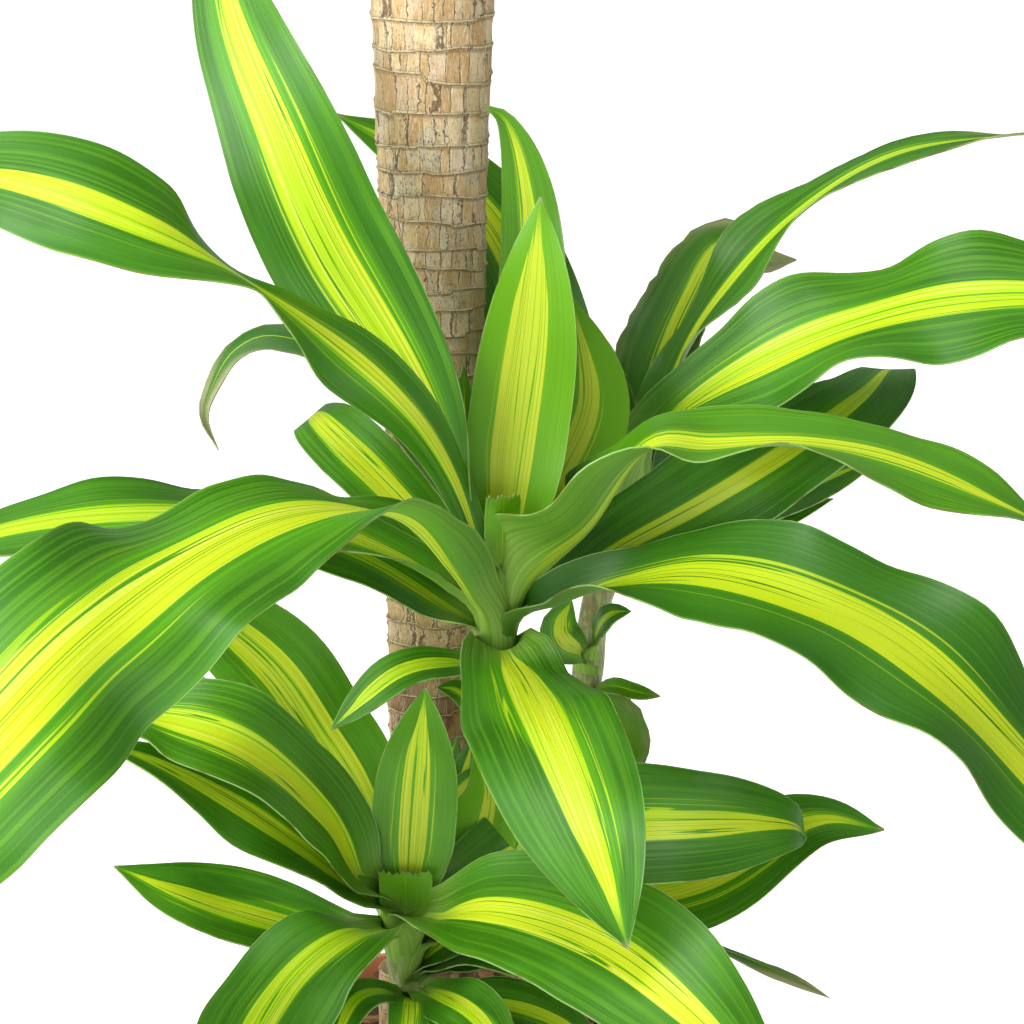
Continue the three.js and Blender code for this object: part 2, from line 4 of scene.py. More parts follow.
import bmesh
import bpy
import numpy as np
from bpy.props import FloatProperty, FloatVectorProperty, IntProperty, PointerProperty
from mathutils import Euler, Matrix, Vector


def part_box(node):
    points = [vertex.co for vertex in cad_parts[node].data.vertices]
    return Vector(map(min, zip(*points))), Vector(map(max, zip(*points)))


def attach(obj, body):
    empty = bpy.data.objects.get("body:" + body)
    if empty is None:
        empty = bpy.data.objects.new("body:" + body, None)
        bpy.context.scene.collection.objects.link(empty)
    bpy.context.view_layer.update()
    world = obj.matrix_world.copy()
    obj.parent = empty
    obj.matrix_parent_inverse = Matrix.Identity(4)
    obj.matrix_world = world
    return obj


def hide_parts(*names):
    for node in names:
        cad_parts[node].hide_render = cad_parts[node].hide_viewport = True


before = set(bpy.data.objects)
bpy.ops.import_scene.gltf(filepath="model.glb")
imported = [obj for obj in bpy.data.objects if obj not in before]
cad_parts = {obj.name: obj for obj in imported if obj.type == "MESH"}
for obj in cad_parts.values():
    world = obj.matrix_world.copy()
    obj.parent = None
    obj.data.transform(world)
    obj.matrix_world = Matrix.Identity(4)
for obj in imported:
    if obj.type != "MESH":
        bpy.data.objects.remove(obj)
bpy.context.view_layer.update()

bl_info = {
    "name": "Potted Corn Plant",
    "version": (1, 0, 0),
    "blender": (4, 5, 0),
    "location": "3D View > Sidebar > Corn Plant",
    "description": "A corn plant with three sawn canes and striped leafy shoots, in a nursery pot",
    "category": "Add Mesh",
}

# The tables are in millimetres, and the scene is in metres
MM = 0.001

# Axis and radius of each cane at rising heights, as [height, x, y, radius]
CANES = {
    "cane_tall": [
        [80, -19, 32, 22.5], [330, -19, 32, 22.5], [480, -19, 31, 24], [600, -18, 30, 26],
        [700, -18.5, 30, 29], [760, -19, 30, 32], [985, -20, 30, 32.5],
    ],
    "cane_middle": [[95, 40, 12, 23], [240, 40, 12, 22.5], [372, 42, 12, 23.5]],
    "cane_short": [[110, -26, -44, 20], [230, -26, -44, 20], [262, -26, -44, 20.5]],
}


def rise(value, low, high):
    """A rounded step from 0 to 1 over the given stretch"""
    share = np.clip((value - low) / (high - low), 0, 1)
    return share * share * (3 - 2 * share)


def draw(number):
    """A repeatable draw between -1 and 1 for a whole number"""
    spread = math.sin(number * 12.9898 + 4.1) * 43758.5453
    return 2 * (spread - math.floor(spread)) - 1


# Leaves: the way that the rib takes from the stem, the way that the upper face looks along it, and the
# blade's colouring: half width of its yellow stripe, how pale it is, and how dry. Paleness is youth, and on
# a few blades painted light and sheen. Below zero it darkens a blade, as painted shade where the blade lies
# in shade and as the deeper tone of an old blade. A blade that is only arched starts a little off the axis
# of its stem
ROOT_SUNK = 4.5
GOLDEN_SHARE = 0.381966


def leaf(wide, way, face, base=0.38, **words):
    """A blade that starts at a share of its width. It may be full only from a later share of its length,
    folded more, opened and flattened elsewhere, waved more, cut off, or clasp the stem in its own way"""
    usual = {
        "full": 0.42, "fold": 0, "bend": (0.3, 0.4, 0.9), "wave": 1, "phase": 0, "cut": False,
        "clasp": (118, 36, 0.04), "stripe": 0.36, "pale": 0, "dry": 0,
    }
    return {"wide": wide, "way": way, "face": face, "base": base, **usual, **words}


def arching(axis, toward, long, wide, steep, droop, swing=0.0, pale=0.0):
    """A leaf that rises from the stem and arches over in one direction, with angles in degrees"""
    steps = 4
    first = math.radians(toward)
    way = [[axis[0] + ROOT_SUNK * math.cos(first), axis[1] + ROOT_SUNK * math.sin(first), axis[2]]]
    face = []
    for i in range(steps + 1):
        share = i / steps
        tilt = math.radians(steep - droop * share ** 1.3)
        turn = math.radians(toward + swing * share)
        out = (math.cos(turn), math.sin(turn))
        face.append([-out[0] * math.sin(tilt), -out[1] * math.sin(tilt), math.cos(tilt)])
        if i == steps:
            break
        x, y, z = way[i]
        run = long / steps * math.cos(tilt)
        way.append([x + out[0] * run, y + out[1] * run, z + long / steps * math.sin(tilt)])
    return leaf(wide, way, face, 0.32, stripe=0.37 + 0.07 * draw(long), pale=pale)


FRONT_STEM = {
    "radius": 8,
    "way": [[32, -2, 352], [16, -22, 360], [8, -38, 378], [12, -46, 415], [15, -46, 462]],
}
FRONT_LEAVES = [
    leaf(64, [[13, -44, 444], [-14, -59, 537], [-66, -53, 625], [-94, -35, 686], [-115, -15, 737],
         [-129, 10, 800]], [[-0.55, -0.72, 0.25], [-0.59, -0.65, 0.18], [-0.05, -0.88, 0.36],
         [-0.25, -1, 0.3], [-0.25, -1, 0.3], [-0.25, -1, 0.3]], 0.12, full=0.51, fold=-15, wave=0.6),
    leaf(74, [[14, -50, 445], [-8, -72, 518], [-39, -97, 567], [-96, -105, 613], [-148, -119, 646],
         [-219, -108, 668], [-290, -98, 661]], [[0.5, -0.7, 0.3], [0.35, -1.1, -0.14],
         [0.26, -0.68, 0.11], [-0.24, -0.09, 1.12], [0, -0.55, 0.84], [0, -0.9, 0.35], [0, -1, 0.3]], 0.14,
         full=0.8, fold=-28, bend=(0.2, 0.32, 0.5), wave=0.3, stripe=0.28),
    leaf(16, [[15, -42, 449], [-15, -25, 508], [-60, -10, 560], [-95, 0, 574], [-117, 5, 566],
         [-130, 10, 544], [-133, 12, 530], [-126, 12, 514]], [[0.1, -0.7, 0.6]], wave=2.2, stripe=0.04,
         pale=-0.9, dry=0.42),
    leaf(38, [[14, -40, 445], [-10, -32, 470], [-37, -22, 498], [-70, 4, 526], [-80, 30, 528],
         [-83, 50, 512]], [[0.5, -0.8, 0.5], [0.2, -0.85, 0.5], [-0.2, -0.65, 0.75], [-0.66, -0.1, 0.75]],
         stripe=0.4, pale=0.15),
    leaf(105, [[13, -50, 430], [-9, -85, 474], [-38, -130, 511], [-96, -193, 519], [-164, -261, 486],
         [-236, -297, 416], [-312, -304, 345], [-366, -301, 250]], [[0.3, 0.5, 0.8], [0.1, 0.2, 1],
         [-0.14, -0.08, 0.65], [-0.35, -1.01, 1], [0.13, -0.53, 0.15], [-0.12, -0.72, 0.55],
         [-0.28, -0.86, 0.4], [-0.35, -0.85, 0.4]], 0.3, full=0.61, fold=-17, bend=(0.39, 0.4, 0.9),
         wave=1.05, phase=-0.76),
    leaf(60, [[13, -45, 432], [-24, -55, 467], [-82, -70, 494], [-152, -90, 502], [-223, -105, 497],
         [-300, -112, 470]], [[0, -0.3, 0.95]], phase=-1.9, stripe=0.34),
    leaf(40, [[13, -45, 428], [-19, -40, 450], [-54, -45, 472], [-88, -50, 483], [-117, -55, 477]],
         [[0, -0.5, 0.8]], stripe=0.2),
    leaf(62, [[15, -50, 433], [33, -58, 463], [60, -69, 492], [86, -73, 531], [117, -76, 533],
         [164, -80, 535], [216, -88, 525], [290, -95, 492]], [[0.64, -0.42, 0.65], [0.23, 0.23, 0.94],
         [-0.58, 0.07, 0.81], [-0.13, -0.19, 0.97], [-0.05, -0.06, 1], [0.53, -0.42, 0.73],
         [0.3, -0.4, 0.8]], 1.4, full=0.546, fold=9.6, bend=(0.4, 0.4, 0.9), wave=1.62, phase=-0.796,
         clasp=(85, 46.3, 0.05), stripe=0.24, pale=0.3),
    # The next two blades lie in shade and are darkened in part as painted shade
    leaf(62, [[16, -45, 434], [40, -37, 451], [72, -26, 470], [116, -8, 490], [164, 12, 515],
         [198, 36, 536], [214, 66, 545], [222, 98, 535]], [[-0.3, -0.85, 0.5], [-0.3, -0.85, 0.5],
         [-0.25, -0.7, 0.65], [-0.1, -0.1, 1]], 0.3, fold=14, stripe=0.2, pale=-0.5),
    leaf(78, [[17, -49, 433], [40, -62, 450], [70, -78, 465], [111, -105, 477], [156, -135, 473],
         [202, -155, 455], [248, -170, 415], [291, -185, 366], [331, -190, 297]], [[-0.1, -0.3, 0.9],
         [0, -0.6, 0.8], [0.4, -0.5, 0.75]], 0.26, wave=1.5, phase=1.2, stripe=0.29, pale=-0.9),
    leaf(50, [[17, -42, 445], [21, -48, 511], [30, -40, 584], [35, -25, 647]], [[0, -1, 0.2]],
         stripe=0.46, pale=0.85),
    leaf(44, [[18, -40, 444], [42, -22, 501], [60, -8, 543], [51, 10, 592]], [[0.2, -0.9, 0.4]],
         stripe=0.3, pale=0.9),
    leaf(18, [[14, -42, 450], [5, -38, 499], [-1, -34, 533], [-3, -30, 565]], [[0.3, -1, 0]],
         stripe=0.1, pale=0.5),
    leaf(38, [[18, -40, 447], [28, -12, 519], [32, 4, 592], [28, 8, 648], [19, 5, 679], [7, 0, 689]],
         [[-0.3, -0.9, 0.2]], stripe=0.3, pale=0.45),
    leaf(56, [[17, -40, 446], [31, 6, 514], [34, 50, 562], [15, 76, 612], [-20, 87, 648], [-69, 88, 674]],
         [[0.2, -0.9, 0.3]], stripe=0.3),
    leaf(72, [[15, -52, 427], [25, -100, 424], [37, -160, 413], [56, -205, 376], [74, -225, 329]],
         [[0, -0.3, 1], [-0.05, -0.9, 0.5]], 0.62, fold=-14, bend=(0.16, 0.4, 0.9), clasp=(118, 22, 0.12),
         stripe=0.34, pale=-0.15),
    leaf(24, [[10, -44, 412], [-9, -60, 422], [-36, -75, 420], [-67, -85, 395]], [[0, -0.6, 0.8]],
         stripe=0.38),
    leaf(14, [[8, -40, 386], [0, -46, 399], [-7, -50, 406], [-16, -53, 408]], [[0, -0.7, 0.7]],
         stripe=0.3, pale=0.2),
    # The torn stub is made paler as painted light, against the shade that falls on it
    leaf(18, [[16, -52, 467], [16, -61, 486], [17, -64, 506]], [[0.4, -1, 0.3]], 0.8, cut=True,
         clasp=(60, 16, 0.06), stripe=0, pale=0.9),
]
RIGHT_STEM = {
    "radius": 8,
    "way": [[48, 14, 355], [58, 26, 385], [64, 34, 430], [78, 38, 470], [84, 40, 500]],
}
RIGHT_LEAVES = [
    leaf(38, [[84, 39, 483], [99, 42, 534], [119, 48, 577], [161, 56, 624], [214, 60, 657],
         [284, 60, 668]], [[-0.5, -0.5, 0.7], [-0.3, -0.3, 0.9], [-0.1, -0.15, 1]], fold=10, wave=2.4,
         stripe=0.24, pale=-0.3, dry=0.3),
    leaf(72, [[81, 36, 485], [94, 22, 520], [134, 8, 554], [190, -4, 581], [244, -12, 595],
         [312, -16, 594], [385, -20, 571]], [[-0.2, -0.6, 0.75]], wave=1.7, stripe=0.32),
    leaf(46, [[86, 44, 482], [92, 60, 539], [110, 75, 583], [128, 85, 608], [152, 95, 598],
         [168, 100, 597]], [[-0.3, -0.6, 0.6]], wave=1.5, stripe=0.2, pale=-0.5, dry=0.45),
    leaf(18, [[80, 40, 472], [77, 45, 518], [71, 50, 560]], [[0, -1, 0.1]], stripe=0.05, dry=0.3),
    leaf(34, [[78, 40, 462], [124, 60, 467], [170, 75, 481], [212, 85, 496]], [[0, -0.5, 0.85]],
         stripe=0.2),
    leaf(22, [[75, 39, 455], [124, 58, 460], [165, 70, 470], [187, 75, 476]], [[0, -0.5, 0.85]],
         stripe=0.3),
    leaf(22, [[61, 28, 403], [47, 12, 416], [45, 5, 427], [51, 0, 440]], [[0.2, -1, 0.2]],
         stripe=0.4, pale=0.2),
    leaf(16, [[62, 29, 408], [66, 14, 424], [72, 8, 431], [81, 4, 433]], [[0, -0.7, 0.7]], stripe=0.3),
    leaf(34, [[58, 25, 389], [66, 14, 380], [73, 10, 366], [78, 6, 352], [80, 4, 340]],
         [[0.3, -0.9, 0.3]], 0.7, wave=2, stripe=0.05, pale=0.7, dry=0.5),
    leaf(10, [[62, 20, 388], [72, 13, 392], [84, 9, 390], [96, 7, 388]], [[0, -0.9, 0.5]], wave=2,
         stripe=0.05, pale=0.6, dry=0.4),
    arching([79, 40, 470], 62, 200, 44, 22, 62),
    arching([80, 41, 476], 92, 270, 50, 24, 74),
    arching([79, 40, 466], 120, 235, 48, 20, 66),
    arching([78, 40, 460], 140, 170, 44, 22, 70),
    arching([82, 40, 490], 105, 170, 34, 40, 60),
]
LOW_STEM = {"radius": 8, "way": [[-26, -46, 246], [-30, -62, 252], [-33, -70, 275], [-33, -72, 315]]}
LOW_LEAVES = [
    leaf(42, [[-31, -72, 290], [-28, -80, 333], [-25, -85, 375], [-21, -80, 415]], [[0, -1, 0.15]],
         pale=0.45),
    # This blade is paler in part as painted sheen
    leaf(56, [[-34, -68, 298], [-53, -58, 350], [-74, -50, 383], [-96, -45, 415], [-125, -42, 440],
         [-160, -45, 462]], [[0.3, -0.9, 0.3]], pale=0.35),
    leaf(57, [[-36, -74, 295], [-53, -81, 317], [-69, -104, 358], [-105, -128, 399], [-150, -132, 414],
         [-190, -150, 418]], [[0.07, -0.76, 0.71], [0.05, -0.73, 0.72], [0.17, -0.51, 0.71],
         [0.38, -0.71, 0.62], [-0.25, -0.3, 0.53], [0.1, -0.65, 0.75]], 0.25, full=0.44, fold=5, wave=0.9,
         phase=-2.8, pale=0.2),
    leaf(40, [[-35, -71, 289], [-58, -90, 318], [-105, -115, 362], [-146, -130, 390], [-174, -135, 402]],
         [[0.1, -0.6, 0.8]], wave=1.8, stripe=0.3, pale=-0.3),
    leaf(44, [[-34, -70, 284], [-57, -82, 287], [-111, -95, 306], [-142, -108, 321], [-171, -112, 334]],
         [[-0.34, -0.37, 0.94], [-0.33, -0.51, 0.4], [0, -0.63, 0.66], [0.07, -0.8, 0.95],
         [-0.15, -0.5, 0.81]], 0.45, full=0.52, fold=10, wave=0.3, phase=-1.46, stripe=0.3),
    leaf(60, [[-33, -75, 283], [-57, -116, 301], [-87, -140, 283], [-109, -190, 251], [-109, -213, 217]],
         [[-0.15, -0.15, 0.58], [-0.13, -0.64, 0.79], [-0.1, -0.27, 0.56], [0.41, -0.67, 0.71],
         [0.63, -0.87, 0.5]], 0.3, full=0.46, fold=-12, wave=1.8, stripe=0.28),
    leaf(74, [[-30, -75, 290], [10, -130, 318], [62, -185, 319], [107, -225, 295], [152, -245, 249]],
         [[-0.1, -0.65, 0.75]], stripe=0.27, pale=0.15),
    leaf(64, [[-29, -69, 292], [5, -72, 318], [54, -78, 341], [113, -84, 347], [155, -82, 346],
         [166, -64, 334]], [[0, -0.8, 0.6], [0, -0.85, 0.5], [0.5, -0.7, 0.5]], stripe=0.28, pale=-0.4),
    leaf(20, [[-29, -69, 292], [-17, -60, 321], [-8, -57, 351], [9, -54, 371]], [[-0.3, -0.9, 0.2]],
         stripe=0.3),
    leaf(40, [[-28, -70, 290], [-6, -64, 314], [6, -64, 336], [10, -62, 358], [2, -58, 376]],
         [[-0.3, -0.9, 0.2]], stripe=0.2, pale=1),
    leaf(60, [[-29, -66, 284], [45, -54, 297], [114, -50, 311], [169, -46, 338], [206, -45, 333]],
         [[0, -0.7, 0.7]], stripe=0.34),
    leaf(24, [[-29, -66, 280], [35, -50, 280], [77, -45, 285], [106, -42, 286]], [[0, -0.5, 0.8]],
         stripe=0.1),
    leaf(16, [[-30, -66, 275], [45, -50, 280], [115, -45, 273], [150, -48, 262], [180, -50, 247]],
         [[0, -0.3, 0.9]], wave=3, stripe=0.05, pale=0.2, dry=0.45),
    leaf(24, [[-31, -68, 294], [-15, -58, 326], [-4, -54, 356], [2, -50, 383]], [[-0.2, -0.9, 0.3]],
         stripe=0.3),
    leaf(26, [[-32, -76, 292], [-31, -82, 308], [-31, -86, 323]], [[0, -1, 0.2]], 0.8, cut=True,
         clasp=(66, 22, 0.14), stripe=0, pale=1),
    leaf(26, [[-31, -67, 264], [-12, -73, 284], [6, -72, 292], [25, -68, 288], [40, -66, 278]],
         [[0, -0.6, 0.8]], stripe=0.25, pale=-0.7),
    leaf(26, [[-31, -65, 263], [-6, -75, 279], [14, -80, 280], [38, -78, 268]], [[0, -0.5, 0.85]],
         stripe=0.25, pale=-0.5),
    leaf(30, [[-30, -64, 262], [8, -63, 277], [38, -58, 272], [66, -54, 259]], [[0, -0.4, 0.9]],
         stripe=0.2, pale=-0.5),
    arching([-33, -70, 284], 137, 230, 44, 44, 42),
    arching([-33, -71, 290], 165, 190, 38, 50, 40),
    arching([-32, -69, 290], 62, 100, 22, 70, 36),
]
FOOT_STEM = {"radius": 6, "way": [[-24, -48, 228], [-22, -66, 230], [-24, -80, 240], [-28, -85, 264]]}
FOOT_LEAVES = [
    leaf(22, [[-28, -83, 255], [-43, -107, 269], [-56, -128, 270], [-67, -145, 247]], [[0, -0.5, 0.85]],
         stripe=0.3),
    leaf(24, [[-29, -84, 260], [-27, -115, 264], [-28, -135, 254], [-31, -150, 237]], [[0, -0.5, 0.85]],
         stripe=0.3),
    leaf(32, [[-28, -84, 262], [-12, -112, 268], [6, -138, 264], [22, -160, 244]], [[0, -0.6, 0.8]],
         stripe=0.3),
    leaf(32, [[-28, -80, 250], [10, -92, 258], [42, -102, 252], [71, -110, 234]], [[0, -0.5, 0.85]],
         stripe=0.26),
    arching([-27, -83, 252], 176, 84, 20, 24, 50),
]

# The blades of a top shoot, from the oldest and lowest to the youngest
TOP_BLADES = {
    "count": 13, "spread": 205, "climb": 78, "wide": (62, 40), "steep": (36, 80), "droop": (92, 42),
}


def fan(root, facing, longest, seed):
    """Blades that fan out on the side that the shoot faces"""
    leaves = []
    for i in range(TOP_BLADES["count"]):
        young = i / (TOP_BLADES["count"] - 1)
        spans = [TOP_BLADES[word] for word in ("wide", "steep", "droop")]
        wide, steep, droop = (old + (new - old) * young for old, new in spans)
        axis = [root[0], root[1], root[2] + TOP_BLADES["climb"] * young]
        turn = facing + TOP_BLADES["spread"] * ((i * GOLDEN_SHARE) % 1 - 0.5)
        long = longest * (1 - 0.5 * young ** 1.6) * (1 + 0.08 * draw(seed + i))
        tilt = steep + 6 * draw(seed + 40 + i)
        sag = droop + 10 * draw(seed + 80 + i)
        swing = 12 * draw(seed + 120 + i)
        leaves.append(arching(axis, turn, long, wide, tilt, sag, swing, pale=0.8 * max(0, young - 0.6)))
    return leaves


TOP_LEFT_STEM = {"radius": 9, "way": [[-28, 20, 915], [-56, 8, 926], [-70, 1, 950], [-74, -1, 1032]]}
TOP_LEFT_LEAVES = fan([-72, 0, 948], 205, 420, 1)
TOP_RIGHT_STEM = {"radius": 9, "way": [[-8, 38, 930], [22, 52, 942], [35, 59, 968], [39, 61, 1050]]}
TOP_RIGHT_LEAVES = fan([37, 60, 966], 28, 400, 31)

SHOOTS = {
    "shoot_front": (FRONT_STEM, FRONT_LEAVES),
    "shoot_right": (RIGHT_STEM, RIGHT_LEAVES),
    "shoot_low": (LOW_STEM, LOW_LEAVES),
    "shoot_foot": (FOOT_STEM, FOOT_LEAVES),
    "shoot_top_left": (TOP_LEFT_STEM, TOP_LEFT_LEAVES),
    "shoot_top_right": (TOP_RIGHT_STEM, TOP_RIGHT_LEAVES),
}


# Shapes


def primitive(adder, name, **sizes):
    """Adds a primitive with nothing else selected, and names it"""
    bpy.ops.object.select_all(action="DESELECT")
    adder(**sizes)
    piece = bpy.context.object
    piece.name = name
    piece.data.name = name
    return piece


def modify(piece, kind, **settings):
    """Adds a modifier and applies it"""
    modifier = piece.modifiers.new(kind.title(), kind)
    for word, value in settings.items():
        setattr(modifier, word, value)
    bpy.context.view_layer.objects.active = piece
    bpy.ops.object.modifier_apply(modifier=modifier.name)


def join(pieces, name):
    """Joins meshes into the first one"""
    bpy.ops.object.select_all(action="DESELECT")
    for piece in pieces:
        piece.select_set(True)
    bpy.context.view_layer.objects.active = pieces[0]
    bpy.ops.object.join()
    joined = bpy.context.object
    joined.name = name
    joined.data.name = name
    return joined


def settle(piece, smooth=40):
    """Puts a finished piece's place into its mesh, and sets how it rides and shades"""
    bpy.ops.object.select_all(action="DESELECT")
    piece.select_set(True)
    bpy.context.view_layer.objects.active = piece
    bpy.ops.object.transform_apply(location=True, rotation=True, scale=True)
    bpy.ops.object.shade_smooth_by_angle(angle=math.radians(smooth))
    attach(piece, "root")
    return piece


def corners_of(piece):
    """The places of a mesh's corners, one row for each"""
    places = np.empty(3 * len(piece.data.vertices))
    piece.data.vertices.foreach_get("co", places)
    return places.reshape(-1, 3)


def move_corners(piece, places):
    """Puts every corner of a mesh at its new place"""
    piece.data.vertices.foreach_set("co", np.ascontiguousarray(places, float).ravel())
    piece.data.update()


def note(piece, name, kind, values):
    """Writes an attribute of the corners, such as the colouring of a blade"""
    attribute = piece.data.attributes.new(name, kind, "POINT")
    word = "color" if kind == "FLOAT_COLOR" else "value"
    attribute.data.foreach_set(word, np.ascontiguousarray(values, float).ravel())


def curve_at(points, share):
    """Points of a smooth uniform curve through the given ones, for shares between 0 and 1"""
    points = np.array(points, float)
    ends = np.vstack([2 * points[0] - points[1], points, 2 * points[-1] - points[-2]])
    place = np.clip(share, 0, 1) * (len(points) - 1)
    i = np.minimum(np.floor(place).astype(int), len(points) - 2)
    f = (place - i)[:, None]
    before, start, end, after = ends[i], ends[i + 1], ends[i + 2], ends[i + 3]
    leaving, arriving = (end - before) / 2, (after - start) / 2
    cubic = (2 * start - 2 * end + leaving + arriving) * f ** 3
    square = (3 * end - 3 * start - 2 * leaving - arriving) * f ** 2
    return start + leaving * f + square + cubic


def even_shares(points, count):
    """Curve shares that lie evenly along its length, and that length"""
    fine = np.linspace(0, 1, 401)
    steps = np.linalg.norm(np.diff(curve_at(points, fine), axis=0), axis=1)
    run = np.concatenate([[0], np.cumsum(steps)])
    return np.interp(np.linspace(0, run[-1], count), run, fine), run[-1]


def unit(vectors):
    return vectors / np.linalg.norm(vectors, axis=-1, keepdims=True)


def curve_slope(points, share):
    """The direction of the curve, from two points close by"""
    step = 0.004
    return unit(curve_at(points, share + step) - curve_at(points, share - step))


# Blade shape: a channelled, waved blade that is widest before its middle. The channel is given in degrees
# at the root, midway and at the tip, and the heights of waves are shares of the blade's width. Torn margins
# take a share of its half width, and the teeth of a cut blade are in millimetres
WAVE_LENGTH = 105
WAVE_HEIGHT = 0.062
RIPPLE_LENGTH = 47
RIPPLE_HEIGHT = 0.011
CHANNEL = (62, 8, 0)
BLADE_COLUMNS = 16
BLADE_ROW = 5
TORN_DEPTH = 0.45
CUT_TEETH = 1.6

# The foot of a blade clasps the stem from this far below its root. A blade's own clasp says how far round
# in degrees, how far up, and how much it widens with each millimetre
CLASP_BELOW = 9


def blade_outline(blade, share):
    """Width of the blade along it, as a share of its full width"""
    grow = blade["base"] + (1 - blade["base"]) * rise(share, 0, blade["full"])
    taper = 1 - (np.maximum(share - 0.5, 0) / 0.5) ** 2.3
    return grow if blade["cut"] else np.maximum(grow * taper, 0.02)


def blade_channel(blade, share):
    """How far the halves of the blade stand up from flat along it"""
    root, middle, tip = CHANNEL
    opened_at, eased_from, eased_by = blade["bend"]
    opened = (root - middle - blade["fold"]) * rise(share, 0, opened_at)
    return np.radians(root - opened - (middle + blade["fold"] - tip) * rise(share, eased_from, eased_by))


def clasping_foot(blade, stem, run, side):
    """Where the foot of a blade would lie against its stem, at some millimetres along it"""
    fine = np.linspace(0, 1, 101)
    root = np.array(blade["way"][0], float)
    nearest = fine[[np.linalg.norm(curve_at(stem["way"], fine) - root, axis=1).argmin()]]
    axis = curve_at(stem["way"], nearest)[0]
    upward = curve_slope(stem["way"], nearest)[0]
    heading = np.array(blade["way"][1], float) - root
    out = unit(heading - heading.dot(upward) * upward)
    beside = np.cross(out, upward)
    below_top = stem["way"][-1][2] - root[2]
    round_angle, _, flare = blade["clasp"]
    radius = stem["radius"] * 0.92 + min(0.5 + 0.05 * below_top, 3) * rise(run, 0, 9) + flare * run
    turn = side * math.radians(round_angle)
    round_stem = np.cos(turn)[:, None] * out + np.sin(turn)[:, None] * beside
    return axis + (run - CLASP_BELOW)[:, None] * upward + radius[:, None] * round_stem


def blade_points(blade, stem, side, share, number):
    """Places of the blade's corners in millimetres, how much each belongs to the foot, and its distance
    from the margin, for sides from -1 to 1 and shares from 0 to 1"""
    rows, row_of = np.unique(np.round(share, 6), return_inverse=True)
    at, long = even_shares(blade["way"], len(rows))
    rib = curve_at(blade["way"], at)
    along = curve_slope(blade["way"], at)
    if len(blade["face"]) > 1:
        look = curve_at(blade["face"], at)
    else:
        look = np.repeat(np.array(blade["face"], float), len(rows), axis=0)
    up = unit(look - (look * along).sum(1)[:, None] * along)
    across = np.cross(along, up)
    half = blade["wide"] / 2 * blade_outline(blade, rows)
    channel = blade_channel(blade, rows)
    swell = np.sin(math.pi * rows) ** 0.6

    rib, up, across, half, channel, swell = (v[row_of] for v in (rib, up, across, half, channel, swell))
    edge = np.abs(side)
    run = share * long
    turns = 2 * math.pi * run / WAVE_LENGTH + 0.13 * long + blade["phase"]
    waves = blade["wave"] * np.sin(turns + 2.2 * np.sign(side)) * (1 + 0.5 * np.sin(0.41 * turns + number))
    ripple_turns = 2 * math.pi * run / RIPPLE_LENGTH * (1 + 0.2 * draw(number))
    ripple = np.sin(ripple_turns + 1.9 * np.sign(side) + number) * np.sin(0.37 * ripple_turns + 3 * number)
    wave = blade["wide"] * swell * (WAVE_HEIGHT * waves * edge ** 1.6 + RIPPLE_HEIGHT * ripple * edge ** 3)
    lift = half * np.sin(channel) * edge ** 1.35 + wave
    torn = np.abs(np.sin(0.31 * run + 2 * np.sign(side)) * np.sin(0.83 * run + number))
    spread = side * half * np.cos(channel) * (1 - TORN_DEPTH * blade["dry"] ** 2 * torn * edge ** 4)
    places = rib + across * spread[:, None] + up * lift[:, None]
    if blade["cut"]:
        ragged = np.sin(9 * side + number) * np.sin(17 * side) + 0.25 * np.sin(37 * side)
        places += along[row_of] * (CUT_TEETH * ragged * rise(share, 0.8, 1))[:, None]

    reach = min(blade["clasp"][1], (0.5 if blade["cut"] else 0.2) * long)
    hold = rise(run, reach, 0.2 * reach)[:, None]
    places = places * (1 - hold) + clasping_foot(blade, stem, run, side) * hold
    return places, rise(run, 1.5 * reach, 0.4 * reach), half * (1 - edge)


def make_blade(blade, stem, number, name):
    """A grid shaped into one blade, with its colouring noted on its corners"""
    _, long = even_shares(blade["way"], 2)
    rows = max(12, round(long / BLADE_ROW))
    columns = BLADE_COLUMNS * (3 if blade["cut"] else 1)
    piece = primitive(
        bpy.ops.mesh.primitive_grid_add, name, size=2, x_subdivisions=columns, y_subdivisions=rows,
    )
    flat = corners_of(piece)
    places, foot, inset = blade_points(blade, stem, flat[:, 0], (flat[:, 1] + 1) / 2, number)
    move_corners(piece, MM * places)
    colouring = [0.5 + 0.5 * draw(number + 7), blade["stripe"], blade["pale"], blade["dry"]]
    note(piece, "blade", "FLOAT_COLOR", np.tile(colouring, (len(flat), 1)))
    note(piece, "foot", "FLOAT", foot)
    note(piece, "inset", "FLOAT", inset)
    return piece


# Stem shape: its sides and rows, how far its rings lie apart, and a direction that no stem takes
STEM_SIDES = 20
STEM_ROW = 5
STEM_JOINT = 11
STEM_ASIDE = (0.31, -0.95, 0.05)


def make_stem(stem, name):
    """A tube along the stem's way, with the slight rings that old leaves leave on it"""
    _, long = even_shares(stem["way"], 2)
    rows = round(long / STEM_ROW)
    piece = primitive(
        bpy.ops.mesh.primitive_cylinder_add, name, vertices=STEM_SIDES, radius=1, depth=2,
        end_fill_type="TRIFAN",
    )
    divide_upright_edges(piece, rows)
    unit_places = corners_of(piece)
    share = (unit_places[:, 2] + 1) / 2
    at, _ = even_shares(stem["way"], 201)
    at = np.interp(share, np.linspace(0, 1, 201), at)
    centre = curve_at(stem["way"], at)
    along = curve_slope(stem["way"], at)
    side = unit(np.cross(along, STEM_ASIDE))
    other = np.cross(along, side)
    ring = np.cos(2 * math.pi * share * long / STEM_JOINT) ** 8
    radius = (stem["radius"] * (0.95 + 0.07 * ring))[:, None]
    places = centre + radius * (unit_places[:, :1] * side + unit_places[:, 1:2] * other)
    move_corners(piece, MM * places)
    return piece


